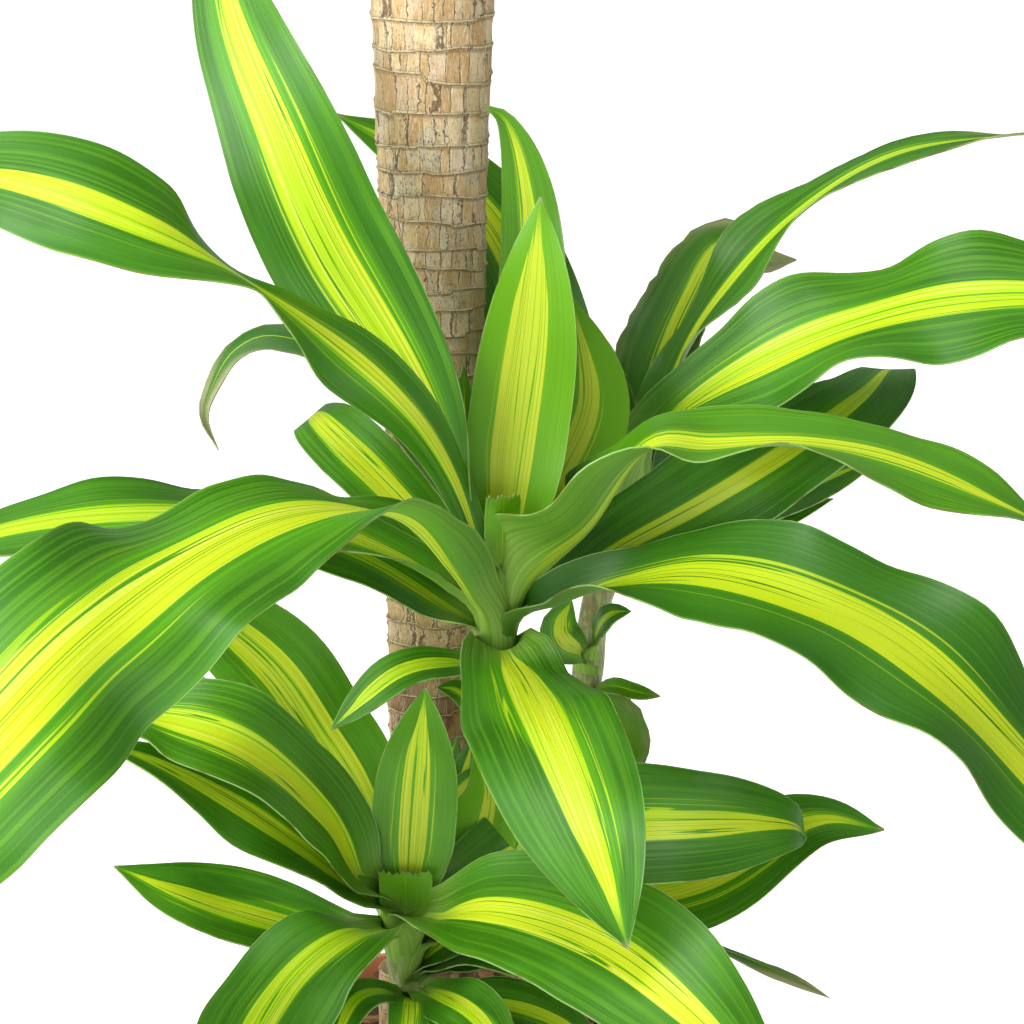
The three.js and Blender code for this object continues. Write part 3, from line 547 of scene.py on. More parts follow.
def divide_upright_edges(piece, *parts):
    """Divides every upright edge of a cylinder into equal parts, and these again if more are given"""
    bpy.ops.object.mode_set(mode="EDIT")
    for count in parts:
        bpy.ops.mesh.select_all(action="DESELECT")
        shape = bmesh.from_edit_mesh(piece.data)
        for edge in shape.edges:
            low, high = sorted(corner.co.z for corner in edge.verts)
            edge.select = high - low > 1e-6
        bmesh.update_edit_mesh(piece.data)
        bpy.ops.mesh.subdivide(number_cuts=count - 1)
    bpy.ops.object.mode_set(mode="OBJECT")


def make_shoot(name, stem, leaves, first):
    """All blades of a shoot, given their thickness, and its stem"""
    blades = [make_blade(blade, stem, first + i, f"{name}_blade") for i, blade in enumerate(leaves)]
    piece = join(blades, name)
    paint(piece, "leaf_face", leaf_look, False)
    paint(piece, "leaf_underside", leaf_look, True)
    thick = bpy.context.scene.corn_plant_leaves.thick
    modify(piece, "SOLIDIFY", thickness=thick, offset=0, material_offset=1)
    stalk = make_stem(stem, f"{name}_stem")
    paint(stalk, "shoot_stem", stem_look)
    piece = join([piece, stalk], name + "_leaves")
    settle(piece, 60)
    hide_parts(name)


# Finishes


def shade(red, green, blue):
    """A screen colour from 0 to 255 as the linear colour that the nodes take"""
    values = [part / 255 for part in (red, green, blue)]
    linear = [part / 12.92 if part <= 0.04045 else ((part + 0.055) / 1.055) ** 2.4 for part in values]
    return (*linear, 1)


class Wire:
    """An output of a finish's nodes: arithmetic on it adds Math nodes"""

    def __init__(self, finish, socket):
        self.finish = finish
        self.socket = socket

    def maths(self, operation, first, second=0.0):
        """A Math node for an operator"""
        return self.finish.node("Math", {"operation": operation}, {0: first, 1: second})

    def output(self, name):
        """Another output of the same node"""
        return Wire(self.finish, self.socket.node.outputs[name])

    def step(self, low, high):
        """A rounded step from 0 to 1 between two values, or down from 1 if low is the larger"""
        settings = {"interpolation_type": "SMOOTHSTEP"}
        return self.finish.node("MapRange", settings, {"Value": self, "From Min": low, "From Max": high})

    def __add__(self, other):
        return self.maths("ADD", self, other)

    def __sub__(self, other):
        return self.maths("SUBTRACT", self, other)

    def __rsub__(self, other):
        return self.maths("SUBTRACT", other, self)

    def __mul__(self, other):
        return self.maths("MULTIPLY", self, other)

    def __truediv__(self, other):
        return self.maths("DIVIDE", self, other)

    def __pow__(self, other):
        return self.maths("POWER", self, other)

    def __abs__(self):
        return self.maths("ABSOLUTE", self)

    def __floor__(self):
        return self.maths("FLOOR", self)

    __radd__ = __add__
    __rmul__ = __mul__


class Finish:
    """A material whose nodes are added one by one"""

    def __init__(self, name):
        self.material = bpy.data.materials.new(name)
        self.material.use_nodes = True
        self.tree = self.material.node_tree
        self.tree.nodes.clear()

    def node(self, kind, settings, inputs, output=0):
        """Adds a node: its settings first, then each input's value or link"""
        node = self.tree.nodes.new("ShaderNode" + kind)
        for word, value in settings.items():
            setattr(node, word, value)
        for name, value in inputs.items():
            if isinstance(value, Wire):
                self.tree.links.new(value.socket, node.inputs[name])
            else:
                node.inputs[name].default_value = value
        return Wire(self, node.outputs[output] if node.outputs else None)

    def mix(self, factor, first, second):
        """Two colours mixed"""
        return self.node("Mix", {"data_type": "RGBA"}, {0: factor, 6: first, 7: second}, 2)

    def place(self, x, y, z):
        """Three values as one vector"""
        return self.node("CombineXYZ", {}, {0: x, 1: y, 2: z})

    def noise(self, x, y, z, detail=2, rough=0.5):
        """Soft noise at a place, mostly between 0.25 and 0.75"""
        sockets = {"Vector": self.place(x, y, z), "Scale": 1, "Detail": detail, "Roughness": rough}
        return self.node("TexNoise", {}, sockets)

    def noted(self, name, output="Fac"):
        """What was noted on the mesh's corners"""
        return self.node("Attribute", {"attribute_name": name}, {}, output)

    def object_place(self):
        """The place on the object in millimetres, as its three parts"""
        where = self.node("TexCoord", {}, {}, "Object")
        scaled = self.node("VectorMath", {"operation": "SCALE"}, {0: where, "Scale": 1 / MM})
        x = self.node("SeparateXYZ", {}, {0: scaled})
        return x, x.output("Y"), x.output("Z")

    def bump(self, height, distance, strength=1):
        """Relief of a depth in metres"""
        return self.node("Bump", {}, {"Height": height, "Distance": distance, "Strength": strength})

    def layers(self, colour, *coats):
        """A colour under some coats, each given as how much it covers and its own colour"""
        for cover, coat in coats:
            colour = self.mix(cover, colour, coat)
        return colour

    def surface(self, colour, rough, others, through=None, share=0):
        """Ends the material in its shader, with light coming through where a colour is given for that"""
        shader = self.node("BsdfPrincipled", {}, {"Base Color": colour, "Roughness": rough, **others})
        if through is not None:
            glow = self.node("BsdfTranslucent", {}, {"Color": through})
            shader = self.node("MixShader", {}, {0: share, 1: shader, 2: glow})
        self.node("OutputMaterial", {}, {"Surface": shader})


def paint(piece, name, look, *details):
    """Gives a mesh one more material, which is made when it is first wanted"""
    if name not in bpy.data.materials:
        look(Finish(name), *details)
    piece.data.materials.append(bpy.data.materials[name])


def leaf_look(finish, underside):
    """Striped leaf: deep green sides with a streaky yellow band down the middle"""
    settings = bpy.context.scene.corn_plant_leaves
    across = finish.node("UVMap", {"uv_map": "UVMap"}, {})
    across = finish.node("SeparateXYZ", {}, {0: across})
    along = across.output("Y")
    side = 2 * across - 1
    edge = abs(side)
    blade = finish.noted("blade", "Color")
    dry = blade.output("Alpha")
    blade = finish.node("SeparateColor", {}, {0: blade})
    stripe, pale = blade.output("Green"), blade.output("Blue")
    seed = 37 * blade
    foot = finish.noted("foot")
    inset = finish.noted("inset")

    # Streaks that run the length of the blade, from thin veins to broad bands
    veins = finish.noise(24 * side + 3.1 * seed, 1.2 * along + seed, seed, 1)
    threads = finish.noise(9 * side + 1.7 * seed, 0.7 * along, seed + 5, 1)
    bands = finish.noise(2.6 * side + seed, 0.9 * along + seed, seed + 9, 1)
    halves = finish.noise(4 * side.step(-0.2, 0.2), 1.3 * along + seed, seed + 21, 1)
    patches = finish.noise(1.6 * side, 4 * along + seed, seed + 13)
    fibre = finish.noise(75 * side, 6 * along + seed, seed + 17, 2, 0.6)
    thin_lines = abs(threads - 0.5).step(0.028, 0.008)
    fine_lines = abs(veins - 0.52).step(0.03, 0.01) * halves.step(0.36, 0.62)

    # The green: deep at the sides, brighter beside the stripe, with faint streaks
    deep = finish.mix(patches.step(0.35, 0.68), shade(48, 104, 8), tuple(settings.green))
    green = finish.mix(0.5 * veins.step(0.42, 0.66), deep, shade(98, 156, 26))
    middle = 0.28 * (finish.noise(seed, 0.8 * along, 7, 1) - 0.5)
    reach = stripe * (1 - 0.6 * along.step(0.72, 1.0)) * along.step(-0.06, 0.22)
    apart = abs(side - middle) - reach * (0.62 + 0.5 * bands) + 0.1 * (threads - 0.5)
    lime = finish.mix(veins.step(0.4, 0.6), shade(96, 166, 12), shade(74, 142, 20))
    border = 0.02 + 0.75 * halves.step(0.42, 0.85)
    green = finish.mix(0.9 * (apart / border).step(1.0, 0.3), green, lime)

    # The stripe: yellow with lime zones and with streaks of paler yellow that are a painted highlight,
    # crossed by thin green lines along its length
    yellow = finish.mix(bands.step(0.6, 0.4), tuple(settings.stripe), shade(178, 214, 16))
    # Paler yellow streaks: a painted highlight on the stripe
    yellow = finish.mix(0.5 * veins.step(0.5, 0.68), yellow, shade(230, 236, 100))
    drawn = (0.85 * thin_lines + 0.5 * fine_lines).step(0, 1)
    within = apart.step(0.02, -0.015) * (1 - drawn)
    outliers = abs(threads - 0.44).step(0.03, 0.012) * apart.step(0.3, 0.1) * halves.step(0.42, 0.6)
    cover = (within + 0.75 * outliers * stripe.step(0.1, 0.3)).step(0.05, 0.95) * along.step(1.0, 0.88)

    # Young blades are paler all over, and a few blades are paler as painted light and sheen. Blades set
    # below zero are darker all over, as painted shade where they lie in shade and as the deeper tone of old
    # blades.
    # The clasping foot is lighter, and the margin is a thin pale line
    young = finish.mix(cover, shade(106, 168, 4), shade(188, 204, 52))
    # Darker greens for blades below zero: in part painted shade, in part the tone of old blades
    old = finish.mix(cover, shade(34, 84, 6), shade(158, 178, 18))
    clasp = finish.mix(veins.step(0.35, 0.65), shade(118, 166, 44), shade(168, 196, 96))
    rust = finish.noise(9 * side.step(-0.1, 0.1), 14 * along + seed, seed)
    rim = finish.mix(rust.step(0.5, 0.62), shade(162, 190, 116), shade(126, 104, 58))

    # Dry places start at the tip and the margin, and spread over an old blade
    reached = dry * 1.25 + 0.45 * (patches - 0.5) + 0.3 * (edge - 0.6) + 0.35 * along.step(0.7, 1)
    withered = finish.mix(fibre.step(0.35, 0.65), shade(122, 120, 74), shade(176, 176, 136))
    colour = finish.layers(
        finish.mix(cover, green, yellow),
        # Paler blades, in part painted light and sheen, and darker ones, in part painted shade
        (0.85 * pale.step(0, 1), young),
        (0.7 * pale.step(0, -1), old),
        (0.85 * foot * (0.8 + pale).step(0, 1), clasp),
        (0.5 * inset.step(0.55, 0.2), rim),
        ((reached.step(0.45, 0.95) + 0.6 * along.step(0.972, 1)).step(0, 1), withered),
        (0.25 * underside, shade(142, 184, 82)),
    )
    relief = finish.bump(0.35 * fibre + 0.65 * veins + 0.5 * threads, 0.0004, 0.45)
    rough = 0.36 + 0.1 * underside + 0.16 * (patches - 0.5) + 0.12 * fibre
    finish.surface(colour, rough, {"Specular IOR Level": 0.32, "Normal": relief}, shade(124, 184, 20), 0.18)


def stem_look(finish):
    """Soft grey-green stem with brown blotches and specks"""
    x, y, z = finish.object_place()
    streaks = finish.noise(0.5 * x, 0.5 * y, 0.06 * z, 3)
    blotches = finish.noise(0.12 * x, 0.12 * y, 0.12 * z, 3)
    specks = finish.noise(1.2 * x, 1.2 * y, 1.2 * z)
    colour = finish.layers(
        shade(112, 126, 70),
        (streaks.step(0.35, 0.65), shade(164, 170, 112)),
        (blotches.step(0.52, 0.7), shade(140, 116, 74)),
        (0.6 * specks.step(0.62, 0.7), shade(84, 70, 42)),
    )
    relief = finish.bump(streaks + 0.6 * specks, 0.0006)
    finish.surface(colour, 0.5 + 0.3 * (streaks - 0.5), {"Normal": relief})


def bark_look(finish):
    """Straw-coloured bark in rough upright plates between thin leaf scars, with splits and lichen"""
    settings = bpy.context.scene.corn_plant_canes
    x, y, z = finish.object_place()
    ring = finish.noted("ring")
    band = math.floor(ring)
    up = ring - band
    wander = finish.noise(0.3 * x, 0.3 * y, 0.22 * z, 3) - 0.5
    ragged = finish.noise(1.1 * x, 1.1 * y, 0.6 * z, 4, 0.7)
    crumbs = finish.noise(2.1 * x, 2.1 * y, 1.1 * z, 3, 0.7)

    # Plates: cells that change from one ring to the next and run straight up between two rings
    cell = finish.place(x + 3.4 * wander, y - 3.4 * wander, 41.7 * band)
    seams = finish.node("TexVoronoi", {"feature": "DISTANCE_TO_EDGE"}, {"Vector": cell, "Scale": 0.13})
    plates = finish.node("TexVoronoi", {"feature": "F1"}, {"Vector": cell, "Scale": 0.13}, "Color")
    plates = finish.node("SeparateColor", {}, {0: plates})
    long_streak = finish.noise(0.5 * x, 0.5 * y, 0.035 * z)
    width = 0.004 + 0.1 * (ragged - 0.42) * long_streak.step(0.45, 0.62)
    crack = (seams - width).step(0.03, 0.0) * (crumbs + 0.5 * long_streak).step(0.62, 0.78)
    splits = finish.noise(0.9 * x + 4 * wander, 0.9 * y, 0.05 * z + 9 * band)
    split = abs(splits - 0.5).step(0.014, 0.003) * ragged.step(0.46, 0.58)

    # Scars: a thin pale ridge, a dark line beneath it that is in part painted shade under the ridge, and
    # torn fibres that stand on the scar below
    ridge = (up.step(0.085, 0.02) + up.step(0.94, 0.99)).step(0, 1)
    underline_and_shade = up.step(0.84, 0.92) * up.step(0.985, 0.95)
    torn = up.step(0.42, 0.06) * splits.step(0.5, 0.58) * crumbs.step(0.5, 0.6)
    fibres = finish.noise(2.2 * x, 2.2 * y, 0.16 * z, 3, 0.6)
    mottle = finish.noise(0.11 * x, 0.11 * y, 0.07 * z, 4, 0.6)

    # Towards its foot the bark is older and darker, and that darkening is in part painted shade. It has
    # peeled in patches there, whose dark brown is in part painted shade too. Lichen grows in a zone above
    # that
    low = (z + 60 * wander).step(600, 450)
    aged_and_shaded = finish.mix(crumbs.step(0.38, 0.6), shade(160, 126, 74), shade(214, 186, 122))
    peeled = finish.noise(0.1 * x, 0.1 * y, 0.035 * z, 3)
    peel_and_shade = (z + 90 * (peeled - 0.5)).step(430, 380) * peeled.step(0.42, 0.54)
    bared_and_shaded = finish.mix(ragged.step(0.3, 0.7), shade(84, 40, 26), shade(164, 108, 76))
    patch = finish.noise(0.075 * x, 0.075 * y, 0.05 * z, 3)
    zone = z + 40 * wander
    lichen = patch.step(0.5, 0.6) * crumbs.step(0.4, 0.54) * zone.step(570, 610) * zone.step(700, 670)
    grown = finish.mix(ragged.step(0.5, 0.6), shade(206, 204, 186), shade(110, 108, 96))
    colour = finish.layers(
        shade(236, 212, 164),
        (plates.step(0.15, 0.85), tuple(settings.bark)),
        (0.7 * plates.output("Green").step(0.7, 0.95), shade(228, 204, 176)),
        (0.55 * mottle.step(0.46, 0.62), shade(206, 158, 96)),
        # Pale cream fibres, in part a painted highlight
        (0.5 * fibres.step(0.48, 0.68), shade(250, 236, 204)),
        (0.4 * ragged.step(0.54, 0.7), shade(168, 128, 76)),
        # Older bark low on the cane, darker in part as painted shade
        (0.45 * low, aged_and_shaded),
        # Peeled patches, their dark brown in part painted shade
        (0.75 * peel_and_shade, bared_and_shaded),
        (0.7 * lichen, grown),
        (0.75 * ridge, shade(244, 226, 178)),
        # Dark line beneath each scar ridge, in part painted shade under the ridge
        (0.6 * underline_and_shade * crumbs.step(0.36, 0.52), shade(140, 98, 54)),
        (0.7 * torn, shade(112, 76, 44)),
        # Pale edges beside the cracks: a painted highlight
        (0.5 * seams.step(0.1, 0.04) * fibres.step(0.4, 0.6), shade(250, 238, 206)),
        (0.8 * (crack + 0.7 * split).step(0, 1), shade(110, 76, 44)),
    )
    height = 1.3 * ridge - 1.2 * crack - 0.7 * split - underline_and_shade - 0.8 * torn
    relief = finish.bump(height + 0.4 * fibres + 0.9 * ragged + 0.9 * crumbs, 0.0012)
    finish.surface(colour, 0.72 + 0.3 * (ragged - 0.5), {"Specular IOR Level": 0.3, "Normal": relief})


def sawn_look(finish):
    """Sawn wood at the head of a cane, sealed and greyed"""
    x, y, _ = finish.object_place()
    grain = finish.noise(0.9 * x, 0.9 * y, 0, 4, 0.65)
    saw = finish.noise(0.12 * x + 0.9 * y, 0.1 * x, 3)
    colour = finish.layers(
        shade(150, 118, 78),
        (grain.step(0.35, 0.68), shade(214, 190, 146)),
        (0.4 * saw.step(0.45, 0.7), shade(120, 96, 70)),
    )
    finish.surface(colour, 0.62 + 0.2 * (grain - 0.5), {"Normal": finish.bump(grain + saw, 0.0008)})


def soil_look(finish, light, dark):
    """Bark mix: damp brown crumbs or chips, each chip with its own tone"""
    x, y, z = finish.object_place()
    tone = finish.noted("tone")
    crumbs = finish.noise(0.7 * x, 0.7 * y, 0.7 * z, 4, 0.7)
    fibres = finish.noise(0.35 * x + 0.2 * y, 1.6 * y - 0.3 * x, 1.1 * z, 3, 0.6)
    colour = finish.layers(
        dark,
        (tone, light),
        (0.7 * crumbs.step(0.5, 0.72), shade(44, 32, 22)),
        (0.45 * fibres.step(0.56, 0.7), shade(158, 122, 84)),
    )
    relief = finish.bump(crumbs + 0.5 * fibres, 0.0012)
    rough = 0.88 - 0.3 * crumbs.step(0.6, 0.8)
    finish.surface(colour, rough, {"Specular IOR Level": 0.3, "Normal": relief})


def pot_look(finish):
    """Terracotta-coloured moulded plastic, with dust near its foot and scuffs round it"""
    settings = bpy.context.scene.corn_plant_pot
    x, y, z = finish.object_place()
    clouds = finish.noise(0.02 * x, 0.02 * y, 0.03 * z, 4, 0.6)
    grain = finish.noise(1.5 * x, 1.5 * y, 1.5 * z, 3, 0.6)
    scuffs = finish.noise(0.12 * x, 0.12 * y, 1.1 * z, 3, 0.6)
    dust = (z + 30 * (clouds - 0.5)).step(46, 4) * grain.step(0.3, 0.6)
    colour = finish.layers(
        tuple(settings.plastic),
        (clouds.step(0.3, 0.7), shade(184, 112, 78)),
        (0.45 * dust, shade(206, 170, 140)),
        (0.35 * scuffs.step(0.64, 0.72), shade(214, 160, 128)),
    )
    rough = 0.4 + 0.25 * (clouds - 0.5) + 0.25 * dust + 0.15 * scuffs.step(0.6, 0.7)
    finish.surface(colour, rough, {"Normal": finish.bump(grain, 0.00012)})


def floor_look(finish):
    """Matt white studio floor with hardly any tone of its own"""
    settings = bpy.context.scene.corn_plant_stage
    x, y, _ = finish.object_place()
    clouds = finish.noise(0.002 * x, 0.002 * y, 0)
    tint = (*(0.97 * part for part in settings.floor[:3]), 1)
    colour = finish.mix(clouds, tint, tuple(settings.floor))
    glow = {"Emission Color": (1, 1, 1, 1), "Emission Strength": 0.45}
    finish.surface(colour, 0.85, {"Specular IOR Level": 0.1, **glow})


# Pot: its wall, how far its rim band stands out and reaches down, and its drain holes
POT_WALL = 2.6
POT_STEP = 3
POT_BAND = 22
DRAIN_RING = 58
DRAIN_RADIUS = 6


def pot_profile(foot, rim, height):
    """The wall's corners as [radius, height] in millimetres, from the foot up the outside, over the rim
    and down the inside"""

    def wall(at):
        return foot + (rim - POT_STEP - foot) * at / height

    band = height - POT_BAND
    return [
        [foot - 3, 0], [foot - 0.9, 0.9], [wall(3), 3], [wall(60), 60], [wall(130), 130],
        [wall(band), band], [rim, band + POT_STEP], [rim, height - 1.2], [rim - 0.4, height - 0.4],
        [rim - 1.2, height], [rim - 4.4, height], [rim - 5.2, height - 0.4], [rim - 5.6, height - 1.2],
        [wall(130) - POT_WALL, 130], [wall(POT_WALL) - POT_WALL, POT_WALL],
    ]


def raise_profile(piece, profile):
    """Extrudes the selected round face along a profile of radii and heights"""
    bpy.ops.object.mode_set(mode="EDIT")
    bpy.ops.mesh.select_all(action="SELECT")
    for (radius, height), (next_radius, next_height) in zip(profile, profile[1:]):
        lift = MM * (next_height - height)
        bpy.ops.mesh.extrude_region_move(TRANSFORM_OT_translate={"value": (0, 0, lift)})
        scale = next_radius / radius
        bpy.ops.transform.resize(value=(scale, scale, 1), center_override=(0, 0, MM * next_height))
    bpy.ops.mesh.select_all(action="SELECT")
    bpy.ops.mesh.normals_make_consistent(inside=False)
    bpy.ops.object.mode_set(mode="OBJECT")


def cut_away(piece, cutter):
    """Cuts another mesh out of the piece, and removes that mesh"""
    modify(piece, "BOOLEAN", object=cutter, operation="DIFFERENCE", solver="EXACT")
    bpy.data.objects.remove(cutter)


def make_pot():
    """The pot's shell, with its drain holes cut and its edges softened"""
    settings = bpy.context.scene.corn_plant_pot
    profile = pot_profile(settings.foot / MM, settings.rim / MM, settings.height / MM)
    piece = primitive(
        bpy.ops.mesh.primitive_circle_add, "pot_shell", vertices=settings.sides,
        radius=MM * profile[0][0], fill_type="NGON",
    )
    raise_profile(piece, profile)
    holes = []
    for i in range(settings.holes):
        turn = 2 * math.pi * i / settings.holes
        ring = MM * DRAIN_RING
        holes.append(primitive(
            bpy.ops.mesh.primitive_cylinder_add, "drain_hole", vertices=24, radius=MM * DRAIN_RADIUS,
            depth=0.02, location=(ring * math.cos(turn), ring * math.sin(turn), 0),
        ))
    cut_away(piece, join(holes, "drain_holes"))
    modify(piece, "BEVEL", width=MM * 0.5, segments=2, limit_method="ANGLE", angle_limit=math.radians(50))
    paint(piece, "pot_plastic", pot_look)
    settle(piece, 35)
    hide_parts("pot")


# Soil: its corners as [radius, height], where its surface lies, how far that falls towards the pot's wall,
# how high its lumps stand, from which height on it is its uneven top, and how that is divided into rings.
# The holes for the canes are as wide as these are at one height, and a little wider
SOIL_PROFILE = [[87.4, 2.9], [112.5, 207]]
SOIL_TOP = 210
SOIL_EDGE_DROP = 3
SOIL_LUMP = 2.5
SOIL_TOP_FROM = 206
SOIL_RINGS = 42
SOIL_RING_WIDTH = 2.6
HOLE_WIDTH_AT = 205
HOLE_HEAD = 220
HOLE_CLEAR = 0.3

# Bark chips: how long and thick they are, and how far from the middle they lie
CHIP_SIZES = (5, 15)
CHIP_THICKNESSES = (2, 4.5)
CHIP_REACH = 106


def soil_height(x, y):
    """The height of the soil's surface at a place"""
    radius = np.hypot(x, y)
    lump = np.sin(x / 11 + 1.7 * np.sin(y / 17)) * np.cos(y / 9 - x / 31)
    lump += 0.7 * np.sin(x / 4.3 + y / 6.1) * np.sin(y / 5.2 - x / 7.7)
    return SOIL_TOP + SOIL_LUMP * lump * rise(radius, 114, 100) - SOIL_EDGE_DROP * rise(radius, 96, 114)


def radius_at(cane, height):
    """A cane's axis and radius at a height"""
    table = np.array(cane, float)
    return [float(np.interp(height, table[:, 0], table[:, k])) for k in (1, 2, 3)]


def make_chip():
    """One bark chip of unit size, broken and uneven"""
    chip = primitive(bpy.ops.mesh.primitive_cube_add, "bark_chip", size=1)
    bpy.ops.object.mode_set(mode="EDIT")
    bpy.ops.mesh.subdivide(number_cuts=1)
    bpy.ops.transform.vertex_random(offset=0.16, uniform=0.9, seed=5)
    bpy.ops.transform.tosphere(value=0.25)
    bpy.ops.object.mode_set(mode="OBJECT")
    return chip


def make_soil():
    """The bark mix that fills the pot, with a hole for each cane"""
    radius, foot = SOIL_PROFILE[0]
    piece = primitive(
        bpy.ops.mesh.primitive_circle_add, "soil_mix", vertices=120, radius=MM * radius,
        location=(0, 0, MM * foot), fill_type="NGON",
    )
    bpy.ops.object.transform_apply(location=True)
    raise_profile(piece, SOIL_PROFILE)
    bpy.ops.object.mode_set(mode="EDIT")
    bpy.ops.mesh.select_all(action="DESELECT")
    shape = bmesh.from_edit_mesh(piece.data)
    upper = max(shape.faces, key=lambda face: face.calc_center_median().z)
    upper.select = True
    bmesh.update_edit_mesh(piece.data)
    for _ in range(SOIL_RINGS):
        bpy.ops.mesh.inset(thickness=MM * SOIL_RING_WIDTH)
    bpy.ops.object.mode_set(mode="OBJECT")
    for cane in CANES.values():
        x, y, radius = radius_at(cane, HOLE_WIDTH_AT)
        length = HOLE_HEAD - cane[0][0]
        cutter = primitive(
            bpy.ops.mesh.primitive_cylinder_add, "cane_hole", vertices=64,
            radius=MM * (radius + HOLE_CLEAR), depth=MM * length,
            location=(MM * x, MM * y, MM * (HOLE_HEAD - length / 2)),
        )
        cut_away(piece, cutter)
    places = corners_of(piece) / MM
    near_top = places[:, 2] > SOIL_TOP_FROM
    grit = np.sin(places[:, 0] * 1.9 + 3 * np.sin(places[:, 1] * 0.7)) * np.sin(places[:, 1] * 1.6)
    wanted = soil_height(places[:, 0], places[:, 1]) + 0.6 * grit
    places[near_top, 2] = wanted[near_top]
    move_corners(piece, MM * places)
    paint(piece, "soil_crumbs", soil_look, shade(98, 74, 52), shade(58, 42, 28))
    note(piece, "tone", "FLOAT", np.full(len(places), 0.4))
    settle(piece, 60)
    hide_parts("soil")


def make_chips():
    """Loose bark chips that lie on the soil, clear of the canes"""
    settings = bpy.context.scene.corn_plant_soil
    canes = [radius_at(cane, SOIL_TOP) for cane in CANES.values()]
    chooser = random.Random(settings.seed)
    master = make_chip()
    chips = []
    while len(chips) < settings.chips:
        reach = CHIP_REACH * math.sqrt(chooser.random())
        turn = chooser.uniform(0, 2 * math.pi)
        x, y = reach * math.cos(turn), reach * math.sin(turn)
        size = chooser.uniform(*CHIP_SIZES)
        if any(math.hypot(x - cx, y - cy) < radius + 0.55 * size for cx, cy, radius in canes):
            continue
        thick = chooser.uniform(*CHIP_THICKNESSES)
        chip = master.copy()
        chip.data = master.data.copy()
        bpy.context.collection.objects.link(chip)
        lie = Euler((chooser.uniform(-0.3, 0.3), chooser.uniform(-0.3, 0.3), chooser.uniform(0, 6.28)))
        height = float(soil_height(np.array(x), np.array(y))) + 0.22 * thick
        grow = Matrix.Diagonal((MM * size, MM * size * chooser.uniform(0.35, 0.7), MM * thick, 1))
        put = Matrix.Translation((MM * x, MM * y, MM * height)) @ lie.to_matrix().to_4x4() @ grow
        chip.data.transform(put)
        note(chip, "tone", "FLOAT", np.full(len(chip.data.vertices), chooser.random()))
        chips.append(chip)
    bpy.data.objects.remove(master)
    cover = join(chips, "soil_chips")
    paint(cover, "bark_chips", soil_look, shade(150, 112, 74), shade(70, 46, 28))
    settle(cover, 30)


# Canes: scar rings lie closer together low down, and each has its own slant and steps
RINGS_FROM = 60
RINGS_TO = 1010
RING_SPACING_LOW = 10.5
RING_SPACING_HIGH = 15.5
RING_CLEAR = 5
RING_SLANT = 2.6
RING_STEP = 2.6
RING_RELIEF = 0.8
RING_SECTOR = 1.7
CANE_SIDES = 80
CANE_ROW = 1.3
CANE_DIVIDED = 8


def ring_heights(turn):
    """Heights of the scar rings at a turn around the cane, from below its foot to above its head"""
    heights = []
    middle = RINGS_FROM
    while middle < RINGS_TO:
        k = len(heights)
        spacing = RING_SPACING_LOW + (RING_SPACING_HIGH - RING_SPACING_LOW) * rise(middle, 580, 700)
        middle += spacing * (1 + 0.3 * draw(k + 30))
        sector = math.floor((turn + 1.9 * draw(k + 150)) / RING_SECTOR)
        height = middle + RING_SLANT * math.sin(turn + 2.4 * k) * draw(k) + RING_STEP * draw(5 * k + sector)
        uneven = 0.9 * draw(k + 60) * math.sin(3 * turn + k)
        height += uneven + 0.5 * draw(k + 90) * math.sin(7 * turn + 2 * k)
        heights.append(max(height, heights[-1] + RING_CLEAR) if heights else height)
    return heights


def make_cane(name, cane):
    """A cane with its scar ridges, dented between them, and sawn flat at its head"""
    foot, head = cane[0][0], cane[-1][0]
    rows = round((head - foot) / CANE_ROW / CANE_DIVIDED)
    piece = primitive(
        bpy.ops.mesh.primitive_cylinder_add, name + "_bark", vertices=CANE_SIDES, radius=1, depth=2,
        end_fill_type="TRIFAN",
    )
    divide_upright_edges(piece, rows, CANE_DIVIDED)
    start = corners_of(piece)
    turn = np.arctan2(start[:, 1], start[:, 0])
    height = foot + (head - foot) * (start[:, 2] + 1) / 2
    axis_x, axis_y, radius = (np.interp(height, *np.array(cane, float).T[[0, k]]) for k in (1, 2, 3))
    in_ring = np.zeros(len(start))
    for value in np.unique(np.round(turn, 4)):
        here = np.abs(turn - value) < 1e-3
        rings = ring_heights(value)
        in_ring[here] = np.interp(height[here], rings, np.arange(len(rings)))
    up = in_ring - np.floor(in_ring)
    ridge = rise(up, 0.12, 0.0) + rise(up, 0.92, 1.0)
    swell = 0.35 * np.sin(3 * turn + height / 37)
    swell += 0.3 * np.sin(7 * turn - height / 19) * np.sin(height / 11)
    plate = np.sin(11 * turn + 1.7 * np.floor(in_ring)) * np.sin(7 * turn + 2.9 * np.floor(in_ring))
    dent = 0.3 * np.sin(math.pi * up) + 0.35 * plate
    relief = RING_RELIEF * ridge - dent + swell
    rounded = 1.2 * rise(height, head - 1.5, head) ** 2
    middle = np.hypot(start[:, 0], start[:, 1])
    out = middle * (radius + relief * rise(height, foot, foot + 20) - rounded)
    places = np.column_stack([axis_x + out * np.cos(turn), axis_y + out * np.sin(turn), height])
    move_corners(piece, MM * places)
    note(piece, "ring", "FLOAT", in_ring)
    paint(piece, "cane_bark", bark_look)
    paint(piece, "sawn_wood", sawn_look)
    for face in piece.data.polygons:
        face.material_index = int(face.normal.z > 0.8 and face.center.z > MM * (head - 1))
    settle(piece, 45)
    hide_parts(name)


# Stage: the photograph's view with angles in degrees, a soft light from above and a panel on the left. The
# floor is wide enough that it fills the background
CAMERA_PLACE = (0.021, -2.1519, 0.9424)
CAMERA_TILT = 78
CAMERA_LENS = 154.69
KEY_TURN = (22, -14, 0)
KEY_SPREAD = 20
PANEL_PLACE = (-2.6, -1.8, 1.9)
PANEL_TURN = (66, 0, -58)
PANEL_SIZE = (2.2, 2.6)


